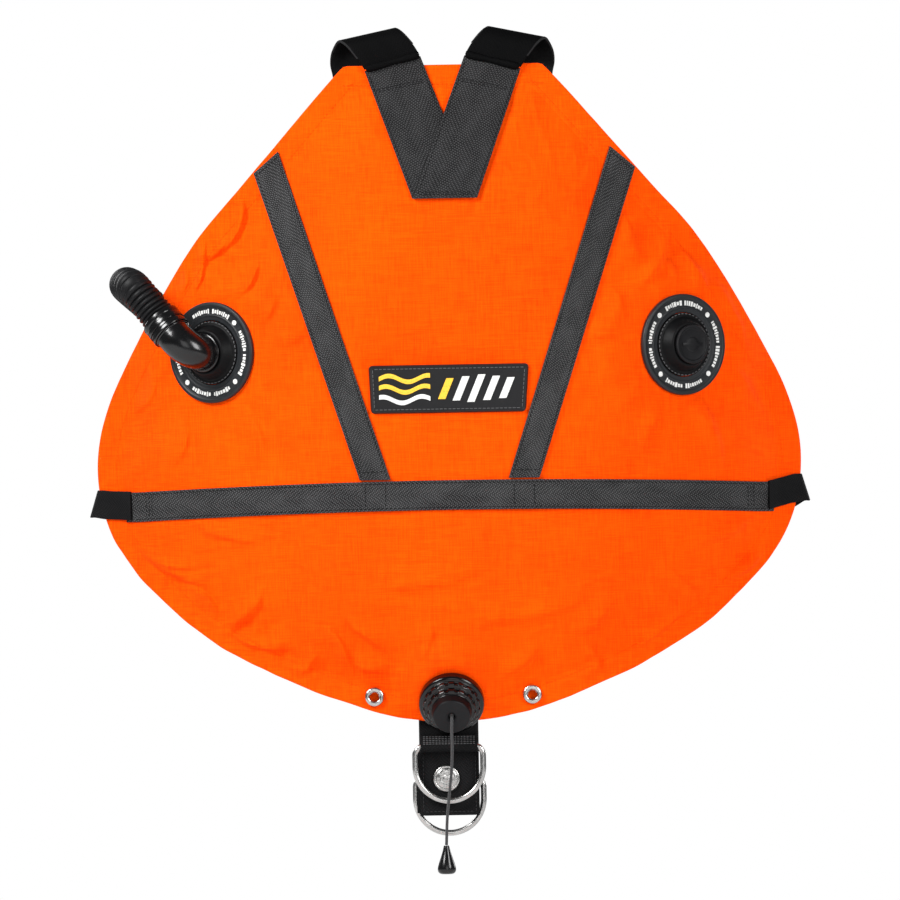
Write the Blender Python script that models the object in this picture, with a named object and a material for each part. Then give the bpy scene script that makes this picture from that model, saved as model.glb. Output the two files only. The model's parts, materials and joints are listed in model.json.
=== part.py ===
"""Side-mount diving wing (buoyancy compensator), hanging from its two shoulder loops.

Lengths are metres, +Z is up and the front faces -Y. Z = 0 is the level of the crests of the
shoulder loops, midway between them. Left means -X, as seen from the front.
"""

import math

import bmesh
import bpy
import numpy as np
from mathutils import Matrix, Vector

# ---- Wing shell ----------------------------------------------------------------------------
# Half of the outline, from the top edge round to the bottom: (half width, height).
OUTLINE = (
    (0.0, -0.0290), (0.0800, -0.0290), (0.0940, -0.0405), (0.1690, -0.1260), (0.2120, -0.1760),
    (0.2530, -0.2430), (0.2870, -0.3120), (0.2970, -0.3680), (0.2830, -0.4260),
    (0.2400, -0.4790), (0.1980, -0.5125), (0.1350, -0.5460), (0.0620, -0.5725), (0.0, -0.5810),
)
OUTLINE_STEPS = 6  # points read between two outline points
FABRIC = 0.0015
HEM = 0.020  # width of the flat double-layer border
DOME = 0.130  # distance over which the filled part rises to its full height
FRONT_RISE = 0.026
BACK_RISE = 0.014
SEAM_GAP = 0.0003  # half of the gap between the two layers at the border
WRAP_START = 0.065  # the wing is flat to here and then wraps backwards
WRAP = 2.05  # curvature of that wrap, per metre
BLADDER_WALL = 0.0010
SHELL_ROWS = 18
SHELL_COLUMNS = 22
BLADDER_INSET = 0.0055
TOP_Z = OUTLINE[0][1]
BOTTOM_Z = OUTLINE[-1][1]

# ---- Gaps ----------------------------------------------------------------------------------
GAP = 0.0003
LIFT = 0.0023  # webbing over the shell

# ---- Ports ---------------------------------------------------------------------------------
PORT_X = 0.197
PORT_Z = -0.2675
PORT_TILT = math.radians(35)
PORT_PROUD = 0.003
PORT_FLAT = (0.046, 0.080)  # the shell is flat inside the first radius, free outside the second
RING_OUTER = 0.0425
RING_INNER = 0.0270
NECK_R = 0.0155
NECK_BORE = 0.0125
NECK_TOP = 0.0120
NECK_FLANGE_R = 0.0270
SEAL_INNER = 0.0126
SEAL_OUTER = 0.0150
SEAL_HEIGHT = 0.0010
FITTING_LOW = NECK_TOP + SEAL_HEIGHT + 2 * GAP  # where the elbow's and the plug's flanges start

# ---- Elbow, hose and inflator ----------------------------------------------------------------
ELBOW_R = 0.0150
ELBOW_BORE = 0.0105
ELBOW_BEND = 0.0195
ELBOW_CORNER = 0.0360  # from the shell to the crossing of the elbow's two axes
ELBOW_TURN = math.radians(44.5)  # from straight up towards the wing's edge
ELBOW_END = 0.0280  # from the corner to the elbow's mouth
HOSE_D = 0.0300
CUFF_R = 0.0172
CUFF_LENGTH = 0.0170
CUFF_GAP = 0.0007
HOSE_START = 0.0285  # from the elbow's corner to the end of the hose
HOSE_STRAIGHT = 0.0140
# The hose leaves the elbow upwards, turns back over the wing's edge and hangs behind it.
HOSE_ROUTE = (
    (-0.2610, 0.0120, -0.2140), (-0.2670, 0.0280, -0.2095),
    (-0.2690, 0.0460, -0.2090), (-0.2670, 0.0640, -0.2115), (-0.2610, 0.0810, -0.2170),
    (-0.2510, 0.0950, -0.2260), (-0.2380, 0.1040, -0.2390), (-0.2230, 0.1070, -0.2560),
    (-0.2080, 0.1050, -0.2760), (-0.1950, 0.0990, -0.2990), (-0.1850, 0.0910, -0.3240),
    (-0.1780, 0.0820, -0.3490), (-0.1745, 0.0745, -0.3710), (-0.1735, 0.0715, -0.3900),
    (-0.1735, 0.0715, -0.4060),
)

# ---- Dump valve and its cord -------------------------------------------------------------------
VALVE = Vector((-0.0017, -0.0137, -0.5625))
VALVE_TILT = math.radians(30)
VALVE_R = 0.0275
VALVE_BASE_R = 0.0150
VALVE_TOP = 0.0290
VALVE_FLAT = (0.024, 0.055)
CORD_D = 0.0025
CORD_ROUTE = (
    (-0.0020, -0.0430, -0.5880), (-0.0018, -0.0425, -0.6000), (-0.0022, -0.0412, -0.6140),
    (-0.0036, -0.0400, -0.6300), (-0.0054, -0.0392, -0.6460), (-0.0070, -0.0390, -0.6620),
    (-0.0080, -0.0390, -0.6840),
)
BEAD_LENGTH = 0.0240
BEAD_R = 0.0077

# ---- Webbing -----------------------------------------------------------------------------------
WEB = 0.0018
WIDE = 0.050
NARROW = 0.025
WAIST_Z = -0.3905
WAIST_DROOP = 0.006
WAIST_END = 0.262
WAIST_TIP = 0.3045

# ---- Tail, rings and screw ------------------------------------------------------------------
TAIL_X = -0.0045
TAIL_Y = 0.0024  # front face of the tail webbing
TAIL_TOP = -0.5625
TAIL_BOTTOM = -0.6597
RING_WIRE = 0.0050
RING_HALF = 0.0285
RING_DROP = 0.0460
UPPER_BAR = (-0.0028, -0.6015)
LOWER_BAR = (0.0117, -0.6285)
KEEPER_TOP = -0.5925
SCREW_Z = -0.6286
SCREW_X = -0.0070

# ---- Eyelets ---------------------------------------------------------------------------------
EYELET_X = 0.0663
EYELET_Z = -0.5590
EYELET_R = 0.0080
EYELET_HOLE = 0.0040

# ---- Zip -------------------------------------------------------------------------------------
ZIP_TOP = -0.190
ZIP_BOTTOM = -0.425
ZIP_WIDTH = 0.032
TOOTH_PITCH = 0.0098

ROUND = 20  # sides of a turned piece


# ---- Helpers ---------------------------------------------------------------------------------
def clear_scene():
    for obj in list(bpy.data.objects):
        bpy.data.objects.remove(obj, do_unlink=True)


def material(name, colour, roughness, metallic=0.0):
    made = bpy.data.materials.new(name)
    made.use_nodes = True
    shader = made.node_tree.nodes["Principled BSDF"]
    shader.inputs["Base Color"].default_value = (*colour, 1.0)
    shader.inputs["Roughness"].default_value = roughness
    shader.inputs["Metallic"].default_value = metallic
    return made


def add_mesh(name, points, faces, mat, frame=None, sharp=35):
    """One closed mesh, with its normals facing out. `frame` is the object's own matrix."""
    mesh = bpy.data.meshes.new(name)
    mesh.from_pydata([tuple(p) for p in points], [], faces)
    build = bmesh.new()
    build.from_mesh(mesh)
    bmesh.ops.recalc_face_normals(build, faces=build.faces)
    build.to_mesh(mesh)
    build.free()
    mesh.shade_smooth()
    mesh.set_sharp_from_angle(angle=math.radians(sharp))
    mesh.materials.append(mat)
    obj = bpy.data.objects.new(name, mesh)
    bpy.context.scene.collection.objects.link(obj)
    if frame is not None:
        obj.matrix_world = frame
    return obj


def cut(target, cutter):
    cutter.hide_render = True
    cutter.display_type = "WIRE"
    modifier = target.modifiers.new("cut_" + cutter.name, "BOOLEAN")
    modifier.operation = "DIFFERENCE"
    modifier.solver = "EXACT"
    modifier.object = cutter


def smooth_route(route, step):
    """Points about `step` apart on a smooth curve through the route's points."""
    knots = [Vector(p) for p in route]
    ends = [2 * knots[0] - knots[1]] + knots + [2 * knots[-1] - knots[-2]]
    points = []
    for i in range(1, len(ends) - 2):
        a, b, c, d = ends[i - 1 : i + 3]
        count = max(1, round((c - b).length / step))
        for k in range(count):
            t = k / count
            points.append(
                0.5 * (2 * b + (c - a) * t + (2 * a - 5 * b + 4 * c - d) * t * t
                       + (3 * b - a - 3 * c + d) * t**3)
            )
    points.append(knots[-1])
    return points


def axis_frame(origin, axis, up=(0, 0, 1)):
    """A matrix at `origin` whose Z is `axis` and whose Y lies near `up`."""
    z = Vector(axis).normalized()
    x = Vector(up).cross(z).normalized()
    y = z.cross(x)
    frame = Matrix((x, y, z)).transposed().to_4x4()
    frame.translation = origin
    return frame


def turned(name, profile, mat, frame, sides=ROUND):
    """A profile of (radius, height) turned about the frame's Z. It may start and end on the axis."""
    points = []
    rings = []
    for radius, height in profile:
        if radius < 1e-6:
            rings.append([len(points)])
            points.append((0.0, 0.0, height))
            continue
        rings.append(list(range(len(points), len(points) + sides)))
        for k in range(sides):
            turn = 2 * math.pi * k / sides
            points.append((radius * math.cos(turn), radius * math.sin(turn), height))
    pairs = list(zip(rings, rings[1:]))
    if len(rings[0]) > 1:
        pairs.append((rings[-1], rings[0]))
    faces = []
    for a, b in pairs:
        for k in range(sides):
            n = (k + 1) % sides
            face = [a[k % len(a)], a[n % len(a)], b[n % len(b)], b[k % len(b)]]
            faces.append(list(dict.fromkeys(face)))
    return add_mesh(name, points, faces, mat, frame)


def rounded_bar(radius, low, high, edge=0.0006):
    """The profile of a solid round bar with broken edges."""
    return [(0, low), (radius - edge, low), (radius, low + edge), (radius, high - edge),
            (radius - edge, high), (0, high)]


def washer(inner, outer, low, high, edge=0.0004):
    return [(inner, low), (outer - edge, low), (outer, low + edge), (outer, high - edge),
            (outer - edge, high), (inner, high)]


def band(inner, outer, low, high):
    return [(inner, low), (outer, low), (outer, high), (inner, high)]


def loft(name, rings, mat, closed=False, frame=None, sharp=35):
    """Rings of points joined in order, with the ends capped unless the loft closes on itself."""
    sides = len(rings[0])
    points = [p for ring in rings for p in ring]
    faces = []
    last = len(rings) if closed else len(rings) - 1
    for i in range(last):
        j = (i + 1) % len(rings)
        for k in range(sides):
            n = (k + 1) % sides
            faces.append([i * sides + k, i * sides + n, j * sides + n, j * sides + k])
    if not closed:
        faces.append(list(range(sides)))
        faces.append([len(points) - sides + k for k in range(sides)])
    return add_mesh(name, points, faces, mat, frame, sharp)


def bored_tube(name, path, outer, inner, mat, sides=20):
    """A tube with a bore along `path`; `outer` and `inner` give the radii at each point."""
    rings = []
    normal = None
    for i, centre in enumerate(path):
        tangent = (path[min(i + 1, len(path) - 1)] - path[max(i - 1, 0)]).normalized()
        if normal is None:
            normal = tangent.orthogonal().normalized()
        normal = (normal - tangent * normal.dot(tangent)).normalized()
        side = tangent.cross(normal)
        spokes = []
        for k in range(sides):
            turn = 2 * math.pi * k / sides
            spokes.append(math.cos(turn) * normal + math.sin(turn) * side)
        rings.append((centre, spokes))
    outside = [[c + outer[i] * s for s in spokes] for i, (c, spokes) in enumerate(rings)]
    inside = [[c + inner[i] * s for s in spokes] for i, (c, spokes) in enumerate(rings)]
    return loft(name, outside + inside[::-1], mat, closed=True)


def curve_tube(name, points, diameter, mat, cyclic=False, resolution=2, frame=None):
    """A round wire or cord through the points, which are in the frame's own axes."""
    curve = bpy.data.curves.new(name, "CURVE")
    curve.dimensions = "3D"
    curve.bevel_depth = diameter / 2
    curve.bevel_resolution = resolution
    curve.use_fill_caps = not cyclic
    spline = curve.splines.new("POLY")
    spline.points.add(len(points) - 1)
    for point, place in zip(spline.points, points):
        point.co = (*place, 1.0)
    spline.use_cyclic_u = cyclic
    spline.use_smooth = True
    curve.materials.append(mat)
    obj = bpy.data.objects.new(name, curve)
    bpy.context.scene.collection.objects.link(obj)
    if frame is not None:
        obj.matrix_world = frame
    return obj


def helix(radius, low, high, turns, per_turn=8):
    count = int(turns * per_turn)
    points = []
    for i in range(count + 1):
        turn = 2 * math.pi * i / per_turn
        height = low + (high - low) * i / count
        points.append(Vector((radius * math.cos(turn), radius * math.sin(turn), height)))
    return points


def ribbon(name, stations, width, thickness, mat):
    """Flat webbing through (centre, across) stations, its thickness on both sides of the centre."""
    rings = []
    for i, (centre, across) in enumerate(stations):
        before = stations[max(i - 1, 0)][0]
        after = stations[min(i + 1, len(stations) - 1)][0]
        tangent = (after - before).normalized()
        side = across.normalized() * width / 2
        out = tangent.cross(side).normalized() * thickness / 2
        rings.append([centre - side - out, centre + side - out,
                      centre + side + out, centre - side + out])
    return loft(name, rings, mat)


# ---- The shell's surfaces ----------------------------------------------------------------------
def smooth_step(value):
    value = min(max(value, 0.0), 1.0)
    return value * value * (3 - 2 * value)


def outline_points():
    """The right half of the outline as a smooth line of (x, z), straight along the top edge."""
    corner = [Vector((x, 0, z)) for x, z in OUTLINE[1:-1]]
    mirror = Vector((-corner[-1].x, 0, corner[-1].z))
    bottom = Vector((OUTLINE[-1][0], 0, OUTLINE[-1][1]))
    knots = [corner[0] + Vector((-0.01, 0, 0))] + corner + [bottom, mirror]
    points = [(0.0, TOP_Z), (corner[0].x / 2, TOP_Z)]
    for i in range(1, len(knots) - 2):
        a, b, c, d = knots[i - 1 : i + 3]
        for k in range(OUTLINE_STEPS):
            t = k / OUTLINE_STEPS
            p = 0.5 * (2 * b + (c - a) * t + (2 * a - 5 * b + 4 * c - d) * t * t
                       + (3 * b - a - 3 * c + d) * t**3)
            points.append((p.x, p.z))
    points.append((0.0, BOTTOM_Z))
    return np.array(points)


EDGE = outline_points()
# Below its top edge the outline has one half width at each height.
EDGE_HEIGHTS = EDGE[2:, 1][::-1]
EDGE_WIDTHS = EDGE[2:, 0][::-1]


def half_width(z):
    return float(np.interp(z, EDGE_HEIGHTS, EDGE_WIDTHS))


def edge_distance(x, z):
    """How far a point inside the outline is from it."""
    point = np.array((abs(x), z))
    start = EDGE[:-1]
    run = EDGE[1:] - start
    along = np.clip(((point - start) * run).sum(1) / (run**2).sum(1), 0, 1)
    near = start + run * along[:, None]
    return float(np.sqrt(((near - point) ** 2).sum(1)).min())


def rise(x, z):
    """0 on the border, 1 over the filled middle."""
    share = min(max((edge_distance(x, z) - HEM) / DOME, 0.0), 1.0)
    return share * (2 - share)


def middle_y(x):
    return WRAP * max(abs(x) - WRAP_START, 0.0) ** 2


def plain_front_y(x, z):
    return middle_y(x) - SEAM_GAP - FABRIC - FRONT_RISE * rise(x, z)


PORT_Y = plain_front_y(PORT_X, PORT_Z) - PORT_PROUD


def flatness(distance, limits):
    inner, outer = limits
    return smooth_step((outer - distance) / (outer - inner))


def front_y(x, z):
    """The outer face of the front panel, flat round each port and round the dump valve."""
    y = plain_front_y(x, z)
    near_port = flatness(math.hypot(abs(x) - PORT_X, z - PORT_Z), PORT_FLAT)
    y += near_port * (PORT_Y + math.tan(PORT_TILT) * (abs(x) - PORT_X) - y)
    near_valve = flatness(math.hypot(x - VALVE.x, z - VALVE.z), VALVE_FLAT)
    y += near_valve * (VALVE.y - math.tan(VALVE_TILT) * (z - VALVE.z) - y)
    return y


def back_y(x, z):
    """The outer face of the back panel."""
    return middle_y(x) + SEAM_GAP + FABRIC + BACK_RISE * rise(x, z)


def port_frame(side):
    """Z out of the port, Y up, at the shell's outer face."""
    normal = (side * math.sin(PORT_TILT), -math.cos(PORT_TILT), 0)
    return axis_frame(Vector((side * PORT_X, PORT_Y, PORT_Z)), normal)


def valve_frame():
    normal = (0, -math.cos(VALVE_TILT), -math.sin(VALVE_TILT))
    return axis_frame(VALVE, normal)


def row_heights(count, top, bottom):
    """Heights closer together near the top and the bottom."""
    shares = [(1 - math.cos(math.pi * i / count)) / 2 for i in range(count + 1)]
    return [top + (bottom - top) * (0.55 * i / count + 0.45 * s) for i, s in enumerate(shares)]


def sheet_grid(scale, outer, inner, rows=SHELL_ROWS, columns=SHELL_COLUMNS):
    """Two grids of points over the outline, scaled about its middle, with `outer` and `inner` as
    their depths. The ends have a short straight edge, so that no row shrinks to a point."""
    centre_z = (TOP_Z + BOTTOM_Z) / 2
    both = []
    for depth in (outer, inner):
        grid = []
        for z0 in row_heights(rows, TOP_Z, BOTTOM_Z + 0.0006):
            half = half_width(z0) * scale
            z = centre_z + (z0 - centre_z) * scale
            row = []
            for j in range(columns + 1):
                share = -1 + 2 * j / columns
                x = half * math.sin(share * math.pi / 2 * 0.62) / math.sin(math.pi / 2 * 0.62)
                row.append((x, depth(x, z), z))
            grid.append(row)
        both.append(grid)
    return both


def grid_solid(name, both, mat, sharp=35):
    """A closed solid between two grids of the same size."""
    rows, columns = len(both[0]), len(both[0][0])
    points = [p for grid in both for row in grid for p in row]
    size = rows * columns

    def index(layer, i, j):
        return layer * size + i * columns + j

    faces = []
    for i in range(rows - 1):
        for j in range(columns - 1):
            for layer in (0, 1):
                faces.append([index(layer, i, j), index(layer, i, j + 1),
                              index(layer, i + 1, j + 1), index(layer, i + 1, j)])
    border = [(0, j) for j in range(columns)] + [(i, columns - 1) for i in range(1, rows)]
    border += [(rows - 1, j) for j in range(columns - 2, -1, -1)]
    border += [(i, 0) for i in range(rows - 2, 0, -1)]
    for (i, j), (m, n) in zip(border, border[1:] + border[:1]):
        faces.append([index(0, i, j), index(0, m, n), index(1, m, n), index(1, i, j)])
    return add_mesh(name, points, faces, mat, sharp=sharp)


def draped(name, corners, mat, lift=LIFT, thickness=WEB, rows=8, columns=3, bend=None):
    """Webbing laid on the front panel inside four (x, z) corners: top left, top right, bottom right,
    bottom left. `lift` is one value or a function of z, and `bend` shifts z with x."""
    corner = [Vector((x, 0, z)) for x, z in corners]
    height = lift if callable(lift) else (lambda z: lift)
    faces = ([], [])
    for i in range(rows + 1):
        left = corner[0].lerp(corner[3], i / rows)
        right = corner[1].lerp(corner[2], i / rows)
        near, far = [], []
        for j in range(columns + 1):
            place = left.lerp(right, j / columns)
            z = place.z + (bend(place.x) if bend else 0.0)
            y = front_y(place.x, z) - height(z)
            near.append((place.x, y - thickness, z))
            far.append((place.x, y, z))
        faces[0].append(near)
        faces[1].append(far)
    return grid_solid(name, faces, mat)


# ---- Air cell and shell --------------------------------------------------------------------
def port_cutter(side, radius, name):
    return turned(name, rounded_bar(radius, -0.012, 0.012), None, port_frame(side))


def make_shell(mats):
    front = grid_solid(
        "shell_front", sheet_grid(1.0, front_y, lambda x, z: front_y(x, z) + FABRIC), mats["orange"]
    )
    back = grid_solid(
        "shell_back", sheet_grid(1.0, back_y, lambda x, z: back_y(x, z) - FABRIC), mats["lining"]
    )
    for side in (-1, 1):
        cut(front, port_cutter(side, NECK_R + 0.0008, f"port_hole_{side}"))
        eyelet = turned(
            f"eyelet_hole_{side}", rounded_bar(EYELET_HOLE + 0.0015, -0.012, 0.012), None,
            axis_frame(Vector((side * EYELET_X, 0, EYELET_Z)), (0, -1, 0)),
        )
        cut(front, eyelet)
        cut(back, eyelet)
    valve_hole = turned("valve_hole", rounded_bar(VALVE_BASE_R + 0.0006, -0.010, 0.012), None,
                        valve_frame())
    cut(front, valve_hole)
    slit = box("zip_slit", (0, back_y(0, ZIP_TOP), (ZIP_TOP + ZIP_BOTTOM) / 2),
               (0.005, 0.012, ZIP_TOP - ZIP_BOTTOM - 0.012), None)
    cut(back, slit)
    return front, back


def box(name, centre, size, mat, edge=0.0):
    x, y, z = (s / 2 for s in size)
    points = [(i * x, j * y, k * z) for i in (-1, 1) for j in (-1, 1) for k in (-1, 1)]
    faces = [[0, 1, 3, 2], [4, 6, 7, 5], [0, 4, 5, 1], [2, 3, 7, 6], [0, 2, 6, 4], [1, 5, 7, 3]]
    obj = add_mesh(name, points, faces, mat, Matrix.Translation(centre))
    if edge:
        bevel = obj.modifiers.new("edge", "BEVEL")
        bevel.width = edge
        bevel.segments = 2
    return obj


def bladder_grid(size, inset):
    def front(x, z):
        return max(front_y(x, z), plain_front_y(x, z)) + inset

    return sheet_grid(size, front, lambda x, z: back_y(x, z) - inset, 12, 12)


def make_bladder(mats):
    """The air cell: a hollow bag inside the shell, open only at its two ports."""
    size = 0.86
    outer = bladder_grid(size, BLADDER_INSET)
    cavity = bladder_grid(size - 0.010, BLADDER_INSET + BLADDER_WALL)
    bladder = grid_solid("bladder", outer, mats["bladder"])
    cut(bladder, grid_solid("bladder_cavity", cavity, None))
    for side in (-1, 1):
        cut(bladder, port_cutter(side, NECK_R + 0.0010, f"bladder_hole_{side}"))


# ---- Webbing -------------------------------------------------------------------------------
def make_shoulder_webs(mats):
    """The V: two wide webs that cross at their lower ends, the right one on top."""
    def over(z):
        return LIFT + (WEB + 0.0004) * smooth_step((-0.046 - z) / 0.020)

    draped("shoulder_web_left",
           ((-0.0655, -0.0335), (-0.0185, -0.0215), (0.0265, -0.1415), (-0.0272, -0.1415)),
           mats["webbing"], rows=10, columns=3)
    draped("shoulder_web_right",
           ((0.0185, -0.0215), (0.0655, -0.0335), (0.0272, -0.1415), (-0.0265, -0.1415)),
           mats["webbing"], lift=over, rows=10, columns=3)


def make_shoulder_loop(side, mats):
    """A band that stands up from the top of the V, turns over and comes down behind the shell."""
    route = (
        # x, y, z and the direction across the band
        (0.0424, -0.0043, -0.0262, 0.969, 0.00, -0.247),
        (0.0480, -0.0046, -0.0170, 0.970, 0.00, -0.240),
        (0.0550, -0.0030, -0.0085, 0.975, 0.00, -0.220),
        (0.0605, 0.0020, -0.0038, 0.980, 0.00, -0.210),
        (0.0640, 0.0085, -0.0035, 0.980, 0.05, -0.200),
        (0.0680, 0.0140, -0.0090, 0.960, 0.18, -0.200),
        (0.0725, 0.0185, -0.0170, 0.860, 0.48, -0.120),
        (0.0780, 0.0235, -0.0265, 0.650, 0.76, -0.050),
        (0.0815, 0.0268, -0.0370, 0.420, 0.90, 0.000),
        (0.0815, 0.0275, -0.0470, 0.420, 0.90, 0.000),
        (0.0785, 0.0255, -0.0590, 0.720, 0.69, 0.000),
        (0.0745, 0.0200, -0.0710, 0.930, 0.36, 0.000),
        (0.0720, 0.0130, -0.0830, 1.000, 0.05, 0.000),
        (0.0710, 0.0120, -0.1020, 1.000, 0.00, 0.000),
    )
    stations = []
    for x, y, z, ax, ay, az in route:
        stations.append((Vector((side * x, y, z)), Vector((side * ax, ay, az)).normalized()))
    name = "shoulder_loop_left" if side < 0 else "shoulder_loop_right"
    ribbon(name, stations, 0.048, 0.0024, mats["loop"])


def make_diagonal_web(side, mats):
    corners = [(-0.1605, -0.1175), (-0.1395, -0.0995), (-0.0495, -0.3770), (-0.0755, -0.3770)]
    if side > 0:
        corners = [(-x, z) for x, z in (corners[1], corners[0], corners[3], corners[2])]
    name = "diagonal_web_left" if side < 0 else "diagonal_web_right"
    draped(name, corners, mats["webbing"], rows=18, columns=2)


def waist_bend(x):
    return -WAIST_DROOP * (min(abs(x), WAIST_END) / WAIST_END) ** 2


def make_waist(mats):
    top, low = WAIST_Z + NARROW / 2, WAIST_Z - NARROW / 2
    draped("waist_web",
           ((-WAIST_END, top), (-WAIST_END, low), (WAIST_END, low), (WAIST_END, top)),
           mats["webbing"], rows=36, columns=2, bend=waist_bend)
    for side in (-1, 1):
        stations = []
        z = WAIST_Z - WAIST_DROOP
        across = Vector((0, 0, side))
        half = WEB / 2
        for x in (0.2640, 0.269, 0.275, 0.281, 0.288):
            y = min(front_y(x, z + dz) for dz in (-0.012, 0, 0.012)) - LIFT - half
            stations.append((Vector((side * x, y, z + 0.0022 * (x - 0.2626) / 0.04)), across))
        edge_y = middle_y(0.2960)
        tip = WAIST_TIP - half
        for turn in (-70, -35, 0, 35, 70):
            angle = math.radians(turn)
            place = Vector((side * (tip - 0.0062 * (1 - math.cos(angle))),
                            edge_y + 0.0062 * math.sin(angle), z + 0.0032))
            stations.append((place, across))
        for x in (0.289, 0.281, 0.272, 0.262, 0.252):
            y = max(back_y(x, z + dz) for dz in (-0.012, 0, 0.012)) + LIFT + half
            stations.append((Vector((side * x, y, z + 0.0020)), across))
        name = "waist_loop_left" if side < 0 else "waist_loop_right"
        ribbon(name, stations, NARROW - 0.001, WEB, mats["webbing"])


def make_badge(mats):
    draped("badge", ((-0.0665, -0.2810), (0.0680, -0.2810), (0.0650, -0.3215), (-0.0650, -0.3215)),
           mats["badge"], thickness=0.0026, rows=4, columns=12)


# ---- Ports ---------------------------------------------------------------------------------
def make_port(side, mats):
    word = "left" if side < 0 else "right"
    frame = port_frame(side)
    base = 2 * GAP
    ring = [(RING_INNER, base), (RING_OUTER, base), (RING_OUTER, 0.0032),
            (RING_OUTER - 0.0012, 0.0042), (RING_OUTER - 0.0030, 0.0042),
            (RING_OUTER - 0.0042, 0.0033), (RING_INNER, 0.0033)]
    turned(f"port_ring_{word}", ring, mats["ring"], frame, 28)
    boot = [(NECK_R + 0.0004, base), (RING_INNER - 0.0004, base), (RING_INNER - 0.0008, 0.0036),
            (0.0226, 0.0056), (0.0200, 0.0096), (0.0182, 0.0128), (NECK_R + 0.0004, 0.0128)]
    turned(f"port_boot_{word}", boot, mats["rubber"], frame)
    neck = [(NECK_BORE, -0.0036), (NECK_FLANGE_R, -0.0036), (NECK_FLANGE_R, -0.0022),
            (NECK_R, -0.0022), (NECK_R, NECK_TOP), (NECK_BORE, NECK_TOP)]
    turned(f"port_neck_{word}", neck, mats["plastic"], frame)


def seal_band():
    return band(SEAL_INNER, SEAL_OUTER, NECK_TOP + GAP, NECK_TOP + GAP + SEAL_HEIGHT)


def make_plug(mats):
    frame = port_frame(1)
    turned("plug_seal", seal_band(), mats["seal"], frame)
    low = FITTING_LOW
    plug = [(0, 0.0040), (0.0112, 0.0040), (0.0119, 0.0048), (0.0119, low), (0.0158, low),
            (0.0165, low + 0.0007), (0.0165, low + 0.0022), (0.0155, low + 0.0030), (0, low + 0.0030)]
    body = turned("port_plug", plug, mats["plastic"], frame)
    top = frame @ Vector((0, 0, low + 0.0030))
    slot = box("plug_slot", (0, 0, 0), (0.020, 0.0026, 0.0030), None)
    slot.matrix_world = axis_frame(top, frame.col[2].to_3d())
    cut(body, slot)


def elbow_axes():
    """The port's axis, the elbow's second axis and their crossing."""
    frame = port_frame(-1)
    normal = frame.col[2].to_3d()
    outward = Vector((-math.cos(PORT_TILT), math.sin(PORT_TILT), 0))
    second = math.cos(ELBOW_TURN) * Vector((0, 0, 1)) + math.sin(ELBOW_TURN) * outward
    return normal, second, frame.translation + normal * ELBOW_CORNER


def make_elbow(mats):
    normal, second, corner = elbow_axes()
    frame = port_frame(-1)
    turned("elbow_seal", seal_band(), mats["seal"], frame)
    low = FITTING_LOW
    path, outer, inner = [], [], []
    for height, radius, bore in ((0.0045, 0.0119, 0.0095), (low + 0.0004, 0.0119, 0.0097),
                                 (low + 0.0008, 0.0162, 0.0100), (low + 0.0022, 0.0158, 0.0100)):
        path.append(frame.translation + normal * height)
        outer.append(radius)
        inner.append(bore)
    centre = corner - normal * ELBOW_BEND + second * ELBOW_BEND
    for step in range(7):
        angle = math.pi / 2 * step / 6
        path.append(centre + ELBOW_BEND * (normal * math.sin(angle) - second * math.cos(angle)))
        outer.append(ELBOW_R)
        inner.append(ELBOW_BORE)
    path.append(corner + second * ELBOW_END)
    outer.append(ELBOW_R)
    inner.append(ELBOW_BORE)
    bored_tube("elbow", path, outer, inner, mats["gloss"], 18)
    cuff = axis_frame(corner + second * (ELBOW_END - 0.0045), second, (0, 1, 0))
    turned("hose_cuff", washer(HOSE_D / 2 + CUFF_GAP, CUFF_R, 0, CUFF_LENGTH, 0.0008),
           mats["rubber"], cuff)


def make_hose(mats):
    normal, second, corner = elbow_axes()
    start = corner + second * HOSE_START
    straight = start + second * HOSE_STRAIGHT
    points = smooth_route((start, straight) + HOSE_ROUTE, 0.0125)
    curve_tube("corrugated_hose", points, HOSE_D, mats["hose"], resolution=3)


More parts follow.
